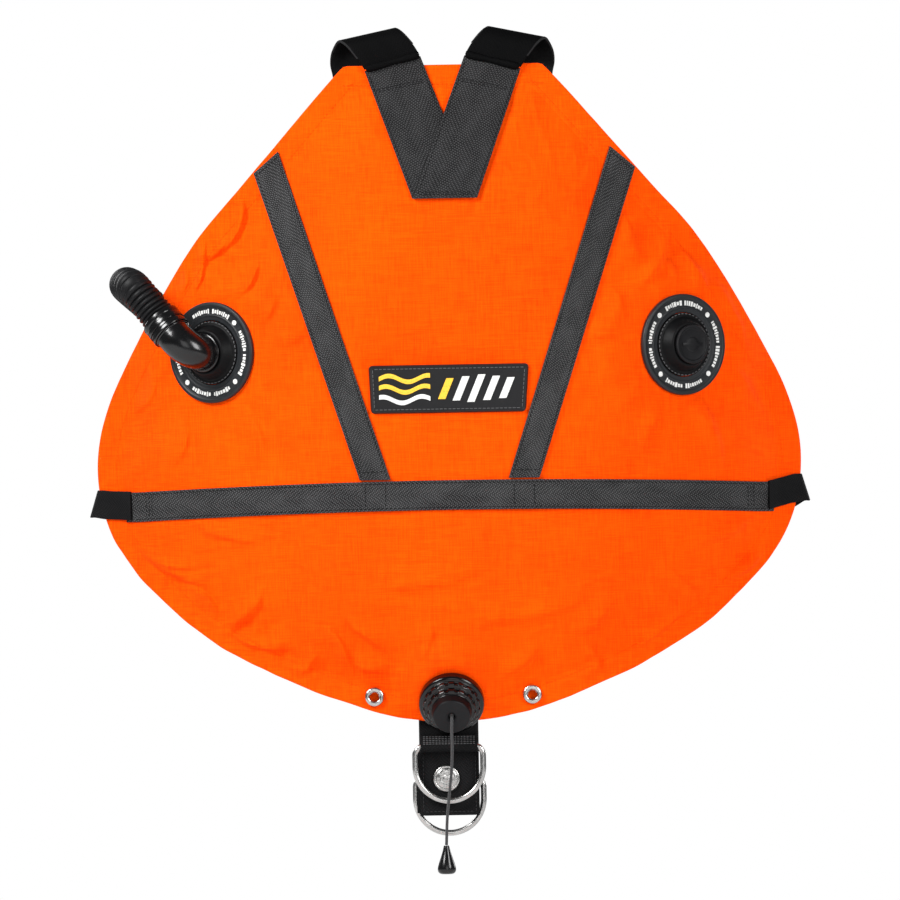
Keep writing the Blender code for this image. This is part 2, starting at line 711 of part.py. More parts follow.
# ---- Inflator ------------------------------------------------------------------------------
def make_inflator(mats):
    end = Vector(HOSE_ROUTE[-1])
    low = end - Vector((0, 0, GAP))
    frame = Matrix.Translation(low)
    inner = HOSE_D / 2 + CUFF_GAP
    turned("inflator_cuff", washer(inner, CUFF_R, -0.0045, 0.0115, 0.0008), mats["rubber"], frame)
    body_profile = [
        (0.0090, 0.0), (0.0150, 0.0), (0.0150, -0.0060), (0.0165, -0.0110), (0.0190, -0.0300),
        (0.0195, -0.0620), (0.0185, -0.0880), (0.0160, -0.0950), (0, -0.0950), (0, -0.0600),
        (0.0090, -0.0600),
    ]
    body = turned_with_pole_gap("inflator_body", body_profile, mats["plastic"], frame)
    # Bottom pocket for the deflate button, side pocket for the inflate button.
    cut(body, turned("deflate_pocket", rounded_bar(0.0093, -0.0990, -0.0800), None, frame))
    side = axis_frame(low + Vector((0, 0, -0.036)), (1, 0, 0))
    cut(body, turned("inflate_pocket", rounded_bar(0.0083, 0.0100, 0.0300), None, side))
    mouth_axis = Vector((0, math.cos(math.radians(20)), -math.sin(math.radians(20))))
    mouth_base = low + Vector((0, 0, -0.0640))
    mouth = axis_frame(mouth_base, mouth_axis)
    cut(body, turned("mouth_socket", rounded_bar(0.0113, 0.0080, 0.0300), None, mouth))
    nipple = axis_frame(low + Vector((0, 0, -0.0620)), (-0.94, 0, -0.342))
    cut(body, turned("nipple_socket", rounded_bar(0.0054, 0.0120, 0.0300), None, nipple))

    turned("deflate_button", [(0, -0.0995), (0.0076, -0.0995), (0.0086, -0.0985), (0.0086, -0.0880),
                              (0, -0.0880)], mats["gloss"], frame)
    curve_tube("deflate_spring", helix(0.0060, -0.0872, -0.0812, 3), 0.0009, mats["steel"],
               resolution=1, frame=frame)
    turned("inflate_button", [(0, 0.0180), (0.0076, 0.0180), (0.0076, 0.0222), (0.0068, 0.0232),
                              (0, 0.0232)], mats["red"], side)
    curve_tube("inflate_spring", helix(0.0052, 0.0136, 0.0172, 2), 0.0009, mats["steel"],
               resolution=1, frame=side)
    tube = [mouth @ Vector((0, 0, h)) for h in (0.0085, 0.0235, 0.0285, 0.0340, 0.0440, 0.0460)]
    bored_tube("mouthpiece", tube, (0.0109, 0.0109, 0.0135, 0.0140, 0.0155, 0.0150),
               (0.0075, 0.0075, 0.0080, 0.0085, 0.0100, 0.0105), mats["rubber"], 20)
    turned("air_nipple", [(0, 0.0126), (0.0050, 0.0126), (0.0050, 0.0236), (0.0062, 0.0240),
                          (0.0062, 0.0266), (0.0046, 0.0270), (0.0046, 0.0310), (0.0034, 0.0316),
                          (0.0034, 0.0342), (0.0046, 0.0350), (0.0046, 0.0386), (0.0040, 0.0392),
                          (0, 0.0392)], mats["steel"], nipple, 16)


def turned_with_pole_gap(name, profile, mat, frame, sides=ROUND):
    """A turned piece with a blind bore: its profile leaves the axis, comes back and closes."""
    start = next(i for i, (radius, _) in enumerate(profile) if radius < 1e-6)
    profile = profile[start + 1 :] + profile[: start + 1]
    return turned(name, profile, mat, frame, sides)


# ---- Dump valve ----------------------------------------------------------------------------
def make_valve(mats):
    frame = valve_frame()
    base = [(0.0105, -0.0052), (0.0172, -0.0052), (0.0172, -0.0034), (VALVE_BASE_R, -0.0034),
            (VALVE_BASE_R, 0.0090), (0.0125, 0.0090), (0.0125, 0.0040), (0.0105, 0.0040)]
    turned("valve_base", base, mats["plastic"], frame)
    disc = [(0, 0.0044), (0.0118, 0.0044), (0.0118, 0.0062), (0.0022, 0.0070), (0.0018, 0.0262),
            (0, 0.0262)]
    turned("valve_disc", disc, mats["seal"], frame)
    curve_tube("valve_spring", helix(0.0085, 0.0074, 0.0176, 3), 0.0010, mats["steel"],
               resolution=1, frame=frame)
    cap = [
        (0.0156, 0.0006), (0.0262, 0.0006), (VALVE_R, 0.0018), (VALVE_R, 0.0086), (0.0250, 0.0104),
        (0.0246, 0.0128), (0.0218, 0.0136), (0.0212, 0.0158), (0.0186, 0.0166), (0.0172, 0.0202),
        (0.0152, VALVE_TOP), (0.0026, VALVE_TOP), (0.0026, 0.0262), (0.0126, 0.0262),
        (0.0156, 0.0150),
    ]
    turned("valve_cap", cap, mats["gloss"], frame, 28)


def make_pull(mats):
    frame = valve_frame()
    start = frame @ Vector((0, 0, VALVE_TOP + GAP))
    second = frame @ Vector((0, 0, VALVE_TOP + 0.0040)) + Vector((0, 0, -0.0020))
    route = (tuple(start), tuple(second)) + CORD_ROUTE
    curve_tube("pull_cord", smooth_route(route, 0.0065), CORD_D, mats["cord"])
    end = Vector(CORD_ROUTE[-1]) - Vector((0, 0, GAP))
    length, radius = BEAD_LENGTH, BEAD_R
    bead = [(0, 0), (0.0022, 0), (0.0030, -0.0010), (0.0040, -0.0050), (0.0058, -0.0110),
            (0.0072, -0.0160), (radius, -0.0195), (0.0070, -0.0225), (0.0048, -length), (0, -length)]
    turned("pull_bead", bead, mats["gloss"], Matrix.Translation(end), 20)


# ---- Tail ----------------------------------------------------------------------------------
def flat_web(name, low, high, y, x, width, thickness, mat):
    centre = (x, y + thickness / 2, (low + high) / 2)
    return box(name, centre, (width, thickness, high - low), mat)


def folded_web(name, route, width, mat):
    """Webbing folded in the YZ plane, through (y, z) points."""
    stations = [(Vector((TAIL_X, y, z)), Vector((1, 0, 0))) for y, z in route]
    return ribbon(name, stations, width, 0.0016, mat)


def d_ring(name, bar, mat):
    y, z = bar
    half, drop, corner = RING_HALF, RING_DROP, 0.0070
    points = []
    for k in range(5):
        turn = math.pi / 2 * k / 4
        points.append((half - corner + corner * math.sin(turn), -corner + corner * math.cos(turn)))
    arms = 0.0170
    for k in range(1, 16):
        turn = math.pi * k / 16
        points.append((half * math.cos(turn), -arms - (drop - arms) * math.sin(turn)))
    for k in range(4, -1, -1):
        turn = math.pi / 2 * k / 4
        points.append((-half + corner - corner * math.sin(turn), -corner + corner * math.cos(turn)))
    ring = curve_tube(name, [Vector((px, 0, pz)) for px, pz in points], RING_WIRE, mat, True, 2)
    ring.location = (TAIL_X, y, z)


def make_tail(mats):
    tail = flat_web("tail_web", TAIL_BOTTOM, TAIL_TOP, TAIL_Y, TAIL_X, WIDE, 0.0020, mats["tail"])
    second_y = TAIL_Y + 0.0020 + GAP
    backing = flat_web("tail_backing", -0.6575, -0.6060, second_y, TAIL_X - 0.0025, WIDE, 0.0018,
                       mats["tail"])
    hole = turned("screw_hole", rounded_bar(0.0030, -0.01, 0.01), None,
                  axis_frame(Vector((SCREW_X, TAIL_Y, SCREW_Z)), (0, -1, 0)))
    cut(tail, hole)
    cut(backing, hole)
    y, z = UPPER_BAR
    reach = RING_WIRE / 2 + 0.0009 + 0.0008
    front = [(TAIL_Y - GAP - 0.0008, KEEPER_TOP), (TAIL_Y - GAP - 0.0008, z + 0.001)]
    for turn in (15, 50, 85, 120, 155, 180):
        angle = math.radians(turn)
        front.append((y + reach * math.cos(angle), z - reach * math.sin(angle)))
    front += [(y - reach + 0.0003, z + 0.0032), (y - 0.0010, z + 0.0070), (y - 0.0010, KEEPER_TOP)]
    folded_web("ring_keeper_upper", front, WIDE - 0.002, mats["tail"])

    y, z = LOWER_BAR
    foot = second_y + 0.0018 + GAP + 0.0008
    back = [(foot, z + 0.0185), (foot, z + 0.0100), (foot + 0.0030, z + 0.0092)]
    for turn in (60, 30, 0, -30, -60):
        angle = math.radians(turn)
        back.append((y + 0.0012 + reach * math.cos(angle), z + 2.1 * reach * math.sin(angle)))
    back += [(foot + 0.0030, z - 0.0092), (foot, z - 0.0100), (foot, z - 0.0185)]
    folded_web("ring_keeper_lower", back, WIDE - 0.006, mats["tail"])

    d_ring("d_ring_upper", UPPER_BAR, mats["steel"])
    d_ring("d_ring_lower", LOWER_BAR, mats["steel"])

    screw = axis_frame(Vector((SCREW_X, TAIL_Y, SCREW_Z)), (0, -1, 0))
    turned("book_screw", [(0, -0.0042), (0.0024, -0.0042), (0.0024, GAP), (0.0104, GAP),
                          (0.0112, 0.0008), (0.0106, 0.0018), (0.0080, 0.0026), (0, 0.0030)],
           mats["steel"], screw)
    turned("book_nut", rounded_bar(0.0068, -0.0064, -0.0045, 0.0004), mats["steel"], screw)


def make_eyelet(side, mats):
    word = "left" if side < 0 else "right"
    frame = axis_frame(Vector((side * EYELET_X, middle_y(EYELET_X), EYELET_Z)), (0, -1, 0))
    face = SEAM_GAP + FABRIC + 0.0020
    barrel = EYELET_HOLE + 0.0008
    turned(f"eyelet_{word}", [(EYELET_HOLE, -face - 0.0010), (barrel, -face - 0.0010),
                              (barrel, face), (EYELET_R, face), (EYELET_HOLE + 0.0018, face + 0.0014),
                              (EYELET_HOLE, face + 0.0006)], mats["steel"], frame, 16)
    turned(f"eyelet_washer_{word}", band(barrel + GAP, EYELET_R - 0.0004, -face - 0.0012, -face - GAP),
           mats["steel"], frame, 16)


# ---- Zip -----------------------------------------------------------------------------------
def make_zip(mats):
    base = back_y(0, -0.3) + GAP
    length = ZIP_TOP - ZIP_BOTTOM
    tape = 0.0010
    chain = 0.0032  # half width of the chain
    right = []
    count = int(length / TOOTH_PITCH)
    for k in range(count):
        z = -k * length / count
        step = length / count
        right += [(chain, z), (chain, z - step * 0.55), (chain - 0.0010, z - step * 0.62),
                  (chain - 0.0010, z - step * 0.93)]
    right.append((chain, -length))
    outline = right + [(-x, z) for x, z in right[::-1]]
    low = [(x, base + tape - 0.0001, ZIP_TOP + z) for x, z in outline]
    high = [(x, base + tape + 0.0014, ZIP_TOP + z) for x, z in outline]
    teeth = loft("zip_teeth", [low, high], mats["zip"])
    track = box("zip_track", (0, base + tape / 2, (ZIP_TOP + ZIP_BOTTOM) / 2),
                (ZIP_WIDTH, tape, length + 0.012), mats["zip"])
    joined = track.modifiers.new("teeth", "BOOLEAN")
    joined.operation = "UNION"
    joined.object = teeth
    teeth.hide_render = True
    teeth.display_type = "WIRE"
    top = base + tape + 0.0014 + GAP
    slider = box("zip_slider", (0, top + 0.0011, ZIP_TOP - 0.0065), (0.0092, 0.0022, 0.0120),
                 mats["steel"], 0.0004)
    bridge = box("zip_bridge", (0, top + 0.0034, ZIP_TOP - 0.0065), (0.0024, 0.0036, 0.0070), None)
    bridge.hide_render = True
    bridge.display_type = "WIRE"
    join = slider.modifiers.new("bridge", "BOOLEAN")
    join.operation = "UNION"
    join.object = bridge
    eye = turned("zip_bridge_eye", rounded_bar(0.0013, -0.004, 0.004), None,
                 axis_frame(Vector((0, top + 0.0037, ZIP_TOP - 0.0065)), (1, 0, 0)), 16)
    cut(slider, eye)
    # The pull: a flat tab on a wire bow whose bar runs through the bridge.
    hinge = Vector((0, top + 0.0037, ZIP_TOP - 0.0065))
    bow = [(-0.0030, 0), (0.0030, 0), (0.0034, -0.0020), (0.0034, -0.0060), (0.0034, -0.0220),
           (0.0022, -0.0250), (-0.0022, -0.0250), (-0.0034, -0.0220), (-0.0034, -0.0060),
           (-0.0034, -0.0020)]
    pull = curve_tube("zip_pull", [Vector((x, 0, z)) for x, z in bow], 0.0016, mats["steel"], True, 2)
    pull.location = hinge


def joint_empty(name, frame, pieces):
    """An empty on a joint's axis that carries the pieces which move with it."""
    empty = bpy.data.objects.new(name, None)
    bpy.context.scene.collection.objects.link(empty)
    empty.matrix_world = frame
    for piece in pieces:
        obj = bpy.data.objects[piece]
        obj.parent = empty
        obj.matrix_parent_inverse = frame.inverted()
    return empty


def make_joints():
    joint_empty("elbow_swivel", port_frame(-1), [
        "elbow", "elbow_seal", "hose_cuff", "corrugated_hose", "inflator_cuff", "inflator_body",
        "mouthpiece", "air_nipple", "inflate_button", "inflate_spring", "deflate_button",
        "deflate_spring",
    ])
    joint_empty("plug_turn", port_frame(1), ["port_plug", "plug_seal"])
    valve = valve_frame()
    joint_empty("dump_pull", valve, ["valve_disc", "valve_spring"])
    cord_top = Matrix.Translation(valve @ Vector((0, 0, VALVE_TOP + GAP)))
    joint_empty("cord_swing", cord_top, ["pull_cord", "pull_bead"])


def make_materials():
    return {
        "orange": material("orange_fabric", (1.0, 0.117, 0.003), 0.62),
        "lining": material("black_lining", (0.018, 0.018, 0.020), 0.70),
        "bladder": material("air_cell_film", (0.22, 0.24, 0.26), 0.45),
        "webbing": material("dark_webbing", (0.045, 0.045, 0.046), 0.72),
        "loop": material("loop_band", (0.009, 0.009, 0.010), 0.60),
        "tail": material("tail_webbing", (0.014, 0.014, 0.015), 0.66),
        "badge": material("badge_rubber", (0.016, 0.016, 0.017), 0.50),
        "ring": material("port_ring_rubber", (0.030, 0.031, 0.033), 0.48),
        "rubber": material("soft_rubber", (0.014, 0.014, 0.015), 0.55),
        "plastic": material("matte_plastic", (0.016, 0.016, 0.018), 0.42),
        "gloss": material("gloss_plastic", (0.008, 0.008, 0.009), 0.12),
        "hose": material("hose_rubber", (0.020, 0.020, 0.022), 0.46),
        "seal": material("seal_rubber", (0.030, 0.030, 0.030), 0.60),
        "red": material("inflate_button", (0.45, 0.020, 0.015), 0.35),
        "steel": material("stainless_steel", (0.62, 0.61, 0.60), 0.22, 1.0),
        "cord": material("pull_cord", (0.020, 0.020, 0.021), 0.80),
        "zip": material("zip_black", (0.012, 0.012, 0.013), 0.50),
    }


def main():
    clear_scene()
    mats = make_materials()
    make_shell(mats)
    make_bladder(mats)
    make_shoulder_webs(mats)
    make_waist(mats)
    make_badge(mats)
    make_plug(mats)
    make_elbow(mats)
    make_hose(mats)
    make_inflator(mats)
    make_valve(mats)
    make_pull(mats)
    make_tail(mats)
    make_zip(mats)
    for side in (-1, 1):
        make_shoulder_loop(side, mats)
        make_diagonal_web(side, mats)
        make_port(side, mats)
        make_eyelet(side, mats)
    make_joints()


main()
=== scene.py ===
"""The looks of a side-mount diving wing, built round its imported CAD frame.

Lengths are metres, +Z is up and the front faces -Y. Left means -X, as seen from the front.
"""
import json
import math
import random

import bpy
import numpy as np
from mathutils import Matrix, Vector


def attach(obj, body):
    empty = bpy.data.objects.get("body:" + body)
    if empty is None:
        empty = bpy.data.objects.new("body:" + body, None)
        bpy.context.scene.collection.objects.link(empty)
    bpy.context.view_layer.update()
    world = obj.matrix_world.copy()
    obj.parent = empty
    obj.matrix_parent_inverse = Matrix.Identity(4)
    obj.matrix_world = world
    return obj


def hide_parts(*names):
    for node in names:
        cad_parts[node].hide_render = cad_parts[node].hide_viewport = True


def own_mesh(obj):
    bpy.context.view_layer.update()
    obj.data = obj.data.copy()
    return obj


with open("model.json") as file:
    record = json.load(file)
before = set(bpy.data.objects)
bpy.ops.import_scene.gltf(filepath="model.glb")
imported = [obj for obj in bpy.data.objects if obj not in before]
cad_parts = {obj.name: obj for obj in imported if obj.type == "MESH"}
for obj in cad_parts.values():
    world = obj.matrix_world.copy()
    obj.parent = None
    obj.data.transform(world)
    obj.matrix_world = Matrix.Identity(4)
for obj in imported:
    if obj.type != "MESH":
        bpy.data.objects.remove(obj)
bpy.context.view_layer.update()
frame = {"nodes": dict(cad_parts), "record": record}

random.seed(7)
WING, ARM, PULL = "wing", "elbow_assembly", "pull"
WORDS = {-1: "left", 1: "right"}

# ---- Driving dimensions, the same as the CAD's -------------------------------------------------
OUTLINE = (
    (0.0, -0.0290), (0.0800, -0.0290), (0.0940, -0.0405), (0.1690, -0.1260), (0.2120, -0.1760),
    (0.2530, -0.2430), (0.2870, -0.3120), (0.2970, -0.3680), (0.2830, -0.4260),
    (0.2400, -0.4790), (0.1980, -0.5125), (0.1350, -0.5460), (0.0620, -0.5725), (0.0, -0.5810),
)
OUTLINE_STEPS = 12
FABRIC = 0.0015
HEM, DOME = 0.020, 0.130
FRONT_RISE, BACK_RISE = 0.026, 0.014
SEAM_GAP = 0.0003
WRAP_START, WRAP = 0.065, 2.05
PORT_X, PORT_Z, PORT_TILT, PORT_PROUD = 0.197, -0.2675, math.radians(35), 0.003
PORT_FLAT = (0.046, 0.080)
VALVE, VALVE_TILT, VALVE_FLAT = (-0.0017, -0.0137, -0.5625), math.radians(30), (0.024, 0.055)
RING_INNER, RING_OUTER = 0.0270, 0.0425
NECK_R, NECK_TOP = 0.0155, 0.0120
ELBOW_R, ELBOW_BORE, ELBOW_BEND, ELBOW_CORNER, ELBOW_END = 0.0150, 0.0105, 0.0195, 0.0360, 0.0280
ELBOW_TURN = math.radians(44.5)
HOSE_D, HOSE_START, HOSE_STRAIGHT = 0.0300, 0.0285, 0.0140
CUFF_R, CUFF_LENGTH = 0.0172, 0.0170
HOSE_ROUTE = (
    (-0.2610, 0.0120, -0.2140), (-0.2670, 0.0280, -0.2095),
    (-0.2690, 0.0460, -0.2090), (-0.2670, 0.0640, -0.2115), (-0.2610, 0.0810, -0.2170),
    (-0.2510, 0.0950, -0.2260), (-0.2380, 0.1040, -0.2390), (-0.2230, 0.1070, -0.2560),
    (-0.2080, 0.1050, -0.2760), (-0.1950, 0.0990, -0.2990), (-0.1850, 0.0910, -0.3240),
    (-0.1780, 0.0820, -0.3490), (-0.1745, 0.0745, -0.3710), (-0.1735, 0.0715, -0.3900),
    (-0.1735, 0.0715, -0.4060),
)
VALVE_TOP, VALVE_CONE, CORD_D = 0.0290, 0.0206, 0.0025
CORD_ROUTE = (
    (-0.0020, -0.0430, -0.5880), (-0.0018, -0.0425, -0.6000), (-0.0022, -0.0412, -0.6140),
    (-0.0036, -0.0400, -0.6300), (-0.0054, -0.0392, -0.6460), (-0.0070, -0.0390, -0.6620),
    (-0.0080, -0.0390, -0.6840),
)
BEAD_LENGTH, BEAD_R = 0.0240, 0.0077
NARROW, WIDE = 0.025, 0.050
WAIST_Z, WAIST_DROOP, WAIST_END, WAIST_TIP = -0.3905, 0.006, 0.262, 0.3045
EYELET_X, EYELET_Z, EYELET_R, EYELET_HOLE = 0.0663, -0.5590, 0.0080, 0.0040
TAIL_X, TAIL_Y, TAIL_TOP, TAIL_BOTTOM = -0.0045, 0.0024, -0.5625, -0.6597
SCREW_X, SCREW_Z = -0.0070, -0.6286
UPPER_BAR, LOWER_BAR, KEEPER_TOP = (-0.0028, -0.6015), (0.0117, -0.6285), -0.5925
RING_WIRE, RING_HALF, RING_DROP = 0.0050, 0.0285, 0.0460
ZIP_TOP, ZIP_BOTTOM, ZIP_WIDTH = -0.190, -0.425, 0.032
GAP = 0.0003
WEB_THICK = 0.0016
HUB_Z = -0.30  # the height that the border's waves turn about
TOP_Z, BOTTOM_Z = OUTLINE[0][1], OUTLINE[-1][1]


# ---- Camera and stage ----------------------------------------------------------------------------
CAMERA_DISTANCE = 20.0
VIEW_WIDTH = 0.756
VIEW_CENTRE = Vector((0.0007, 0.0, -0.3528))
CAMERA_ROLL = math.radians(1.0)
FLOOR_Z, FLOOR_HALF = -0.80, 1.6
LIGHT_TARGET = Vector((0, 0, -0.33))
# Name, place, size and power of each soft light.
LIGHTS = (
    ("key", (-1.30, -1.05, 0.80), (0.70, 0.80), 56),
    ("fill_right", (1.35, -1.35, 0.20), (0.60, 0.90), 25),
    ("front", (0.20, -2.6, -0.10), (1.10, 1.10), 8),
    ("back_left", (-1.4, 1.5, 0.6), (0.8, 1.4), 20),
    ("back_right", (1.5, 1.4, 0.2), (0.8, 1.4), 16),
)


def make_camera():
    data = bpy.data.cameras.new("camera")
    data.sensor_width = 36.0
    data.lens = data.sensor_width * CAMERA_DISTANCE / VIEW_WIDTH
    data.clip_end = 200
    camera = bpy.data.objects.new("camera", data)
    right = Vector((math.cos(CAMERA_ROLL), 0, -math.sin(CAMERA_ROLL)))
    up = Vector((math.sin(CAMERA_ROLL), 0, math.cos(CAMERA_ROLL)))
    back = Vector((0, -1, 0))
    place = Matrix((right, up, back)).transposed().to_4x4()
    place.translation = VIEW_CENTRE + back * CAMERA_DISTANCE
    camera.matrix_world = place
    bpy.context.scene.collection.objects.link(camera)
    bpy.context.scene.camera = camera


def softbox(name, place, size, power):
    """A soft light that faces the middle of the wing."""
    data = bpy.data.lights.new(name, "AREA")
    data.shape = "RECTANGLE"
    data.size, data.size_y = size
    data.energy = power
    lamp = bpy.data.objects.new(name, data)
    lamp.location = place
    lamp.rotation_euler = (LIGHT_TARGET - Vector(place)).to_track_quat("-Z", "Y").to_euler()
    bpy.context.scene.collection.objects.link(lamp)


def make_lights():
    """Soft lights, and a world that is white to the camera but dim as a light."""
    for light in LIGHTS:
        softbox(*light)
    world = bpy.data.worlds.new("studio")
    bpy.context.scene.world = world
    world.use_nodes = True
    tree = world.node_tree
    ground = tree.nodes["Background"]
    ground.inputs["Color"].default_value = (0.95, 0.97, 1.0, 1)
    ground.inputs["Strength"].default_value = 0.16
    bright = tree.nodes.new("ShaderNodeBackground")
    bright.inputs["Color"].default_value = (1, 1, 1, 1)
    bright.inputs["Strength"].default_value = 1.0
    path = tree.nodes.new("ShaderNodeLightPath")
    mix = tree.nodes.new("ShaderNodeMixShader")
    tree.links.new(path.outputs["Is Camera Ray"], mix.inputs["Fac"])
    tree.links.new(ground.outputs[0], mix.inputs[1])
    tree.links.new(bright.outputs[0], mix.inputs[2])
    tree.links.new(mix.outputs[0], tree.nodes["World Output"].inputs["Surface"])
    bpy.context.scene.view_settings.view_transform = "Standard"


def make_floor():
    corners = [(x * FLOOR_HALF, y * FLOOR_HALF, FLOOR_Z) for x, y in ((-1, -1), (1, -1), (1, 1), (-1, 1))]
    mesh = bpy.data.meshes.new("floor")
    mesh.from_pydata(corners, [], [(0, 1, 2, 3)])
    floor = bpy.data.objects.new("floor", mesh)
    mat = bpy.data.materials.new("floor")
    mat.use_nodes = True
    shader = mat.node_tree.nodes["Principled BSDF"]
    shader.inputs["Base Color"].default_value = (0.86, 0.86, 0.86, 1)
    shader.inputs["Roughness"].default_value = 0.9
    mesh.materials.append(mat)
    bpy.context.scene.collection.objects.link(floor)


make_camera()
make_lights()
make_floor()


# ---- Node materials --------------------------------------------------------------------------------
class Look:
    """A Principled material and short ways to add nodes to it. Object coordinates are metres."""

    def __init__(self, name, colour, roughness, metallic=0.0, **sockets):
        self.material = bpy.data.materials.new(name)
        self.material.use_nodes = True
        self.tree = self.material.node_tree
        self.shader = self.tree.nodes["Principled BSDF"]
        self.set(self.shader, "Base Color", (*colour, 1))
        self.set(self.shader, "Roughness", roughness)
        self.set(self.shader, "Metallic", metallic)
        for socket, value in sockets.items():
            self.set(self.shader, socket.replace("_", " "), value)
        self.place = self.tree.nodes.new("ShaderNodeTexCoord").outputs["Object"]
        self.normal = None

    def set(self, node, socket, value):
        node.inputs[socket].default_value = value

    def link(self, source, node, socket):
        self.tree.links.new(source, node.inputs[socket])

    def cloth_map(self):
        """Metres along and across a piece of webbing or a cord, from its own UV map."""
        node = self.tree.nodes.new("ShaderNodeUVMap")
        node.uv_map = "cloth"
        return node.outputs["UV"]

    def scaled(self, source, scale):
        node = self.tree.nodes.new("ShaderNodeMapping")
        self.link(source, node, "Vector")
        self.set(node, "Scale", scale)
        return node.outputs["Vector"]

    def noise(self, scale, source, detail, rough):
        node = self.tree.nodes.new("ShaderNodeTexNoise")
        self.link(source or self.place, node, "Vector")
        self.set(node, "Scale", scale)
        self.set(node, "Detail", detail)
        self.set(node, "Roughness", rough)
        return node.outputs["Fac"]

    def math(self, operation, a, b=0.0, clamp=False):
        node = self.tree.nodes.new("ShaderNodeMath")
        node.operation = operation
        node.use_clamp = clamp
        for socket, value in ((0, a), (1, b)):
            if isinstance(value, (int, float)):
                node.inputs[socket].default_value = value
            else:
                self.tree.links.new(value, node.inputs[socket])
        return node.outputs[0]

    def times(self, a, b, clamp=False):
        return self.math("MULTIPLY", a, b, clamp)

    def plus(self, a, b, clamp=False):
        return self.math("ADD", a, b, clamp)

    def axis(self, letter, source=None):
        node = self.tree.nodes.new("ShaderNodeSeparateXYZ")
        self.link(source or self.place, node, "Vector")
        return node.outputs[letter]

    def wave(self, value, pitch):
        """A sine of the value, from 0 to 1, one cycle for each pitch."""
        turn = self.times(value, 2 * math.pi / pitch)
        return self.times(self.plus(self.math("SINE", turn), 1.0), 0.5)

    def ramp(self, value, low, high):
        """0 below low, 1 above high."""
        node = self.tree.nodes.new("ShaderNodeMapRange")
        node.interpolation_type = "SMOOTHSTEP"
        self.link(value, node, "Value")
        self.set(node, "From Min", low)
        self.set(node, "From Max", high)
        return node.outputs["Result"]

    def between(self, value, low, high):
        """The value, from 0 to 1, stretched to low..high."""
        node = self.tree.nodes.new("ShaderNodeMapRange")
        self.link(value, node, "Value")
        self.set(node, "To Min", low)
        self.set(node, "To Max", high)
        return node.outputs["Result"]

    def mix(self, share, dark, light):
        node = self.tree.nodes.new("ShaderNodeMix")
        node.data_type = "RGBA"
        if isinstance(share, (int, float)):
            node.inputs[0].default_value = share
        else:
            self.tree.links.new(share, node.inputs[0])
        for socket, value in ((6, dark), (7, light)):
            if isinstance(value, tuple):
                node.inputs[socket].default_value = (*value, 1)
            else:
                self.tree.links.new(value, node.inputs[socket])
        return node.outputs[2]

    def colour(self, source):
        self.link(source, self.shader, "Base Color")

    def rough(self, source):
        self.link(source, self.shader, "Roughness")

    def bump(self, height, distance, strength):
        node = self.tree.nodes.new("ShaderNodeBump")
        self.set(node, "Strength", strength)
        self.set(node, "Distance", distance)
        self.link(height, node, "Height")
        if self.normal is not None:
            self.link(self.normal, node, "Normal")
        self.normal = node.outputs["Normal"]
        self.tree.links.new(self.normal, self.shader.inputs["Normal"])


def shade(colour, factor):
    return tuple(min(1.0, c * factor) for c in colour)


def woven_cloth(name, dark, light, roughness, pitch=0.00062, **sockets):
    """Plain-woven coated nylon: fine threads, uneven ones among them, and faint cloudy patches."""
    look = Look(name, light, roughness, **sockets)
    threads_x = look.noise(1.0, look.scaled(look.place, (55, 55, 1500)), 2.0, 0.6)
    threads_z = look.noise(1.0, look.scaled(look.place, (1500, 55, 55)), 2.0, 0.6)
    threads = look.times(look.plus(threads_x, threads_z), 0.5)
    cloud = look.noise(9.0, None, 4.0, 0.6)
    speck = look.noise(900.0, None, 1.0, 0.5)
    share = look.plus(look.times(look.ramp(threads, 0.36, 0.62), 0.62),
                      look.times(look.ramp(cloud, 0.30, 0.70), 0.22))
    share = look.plus(share, look.times(speck, 0.16), clamp=True)
    look.colour(look.mix(share, dark, light))
    weave = look.times(look.wave(look.axis("X"), pitch), look.wave(look.axis("Z"), pitch))
    height = look.plus(look.times(weave, 0.55), look.times(threads, 0.9))
    look.bump(height, 0.00022, 0.55)
    look.bump(look.noise(140.0, None, 2.0, 0.5), 0.0006, 0.22)
    look.rough(look.between(cloud, roughness - 0.06, roughness + 0.08))
    return look.material


def ribbed_web(name, dark, light, roughness, rib, strength=0.75, gloss=0.15):
    """Webbing whose slanted floats stand in rows like small diamonds, with fuzz and faint wear; its colour is
    painted lighter on the raised floats and fuzz and darker in the hollows, as painted highlight and painted
    shade.
    """
    look = Look(name, light, roughness, Specular_IOR_Level=gloss)
    uv = look.cloth_map()
    along, across = look.axis("Y", uv), look.axis("X", uv)
    slant = look.plus(along, look.times(look.math("PINGPONG", across, 0.0084), 0.45))
    ribs = look.wave(slant, rib)
    floats = look.wave(look.plus(across, look.times(look.math("FLOOR",
                       look.math("DIVIDE", slant, rib)), 0.00105)), 0.0021)
    fuzz = look.noise(1.0, look.scaled(uv, (900, 700, 1)), 3.0, 0.62)
    patch = look.noise(1.0, look.scaled(uv, (60, 30, 1)), 3.0, 0.6)
    height = look.plus(look.times(look.times(ribs, floats), 0.95),
                       look.times(fuzz, 0.95))
    # The colour follows the weave's height: painted highlight on the raised floats and fuzz, painted shade in
    # the hollows between them; the large patches are faint wear.
    share = look.plus(look.times(look.ramp(height, 0.35, 1.30), 0.85),
                      look.times(look.ramp(patch, 0.32, 0.68), 0.15), clamp=True)
    look.colour(look.mix(share, dark, light))
    look.bump(height, 0.00034, strength)
    look.rough(look.between(fuzz, roughness - 0.05, roughness + 0.10))
    return look.material


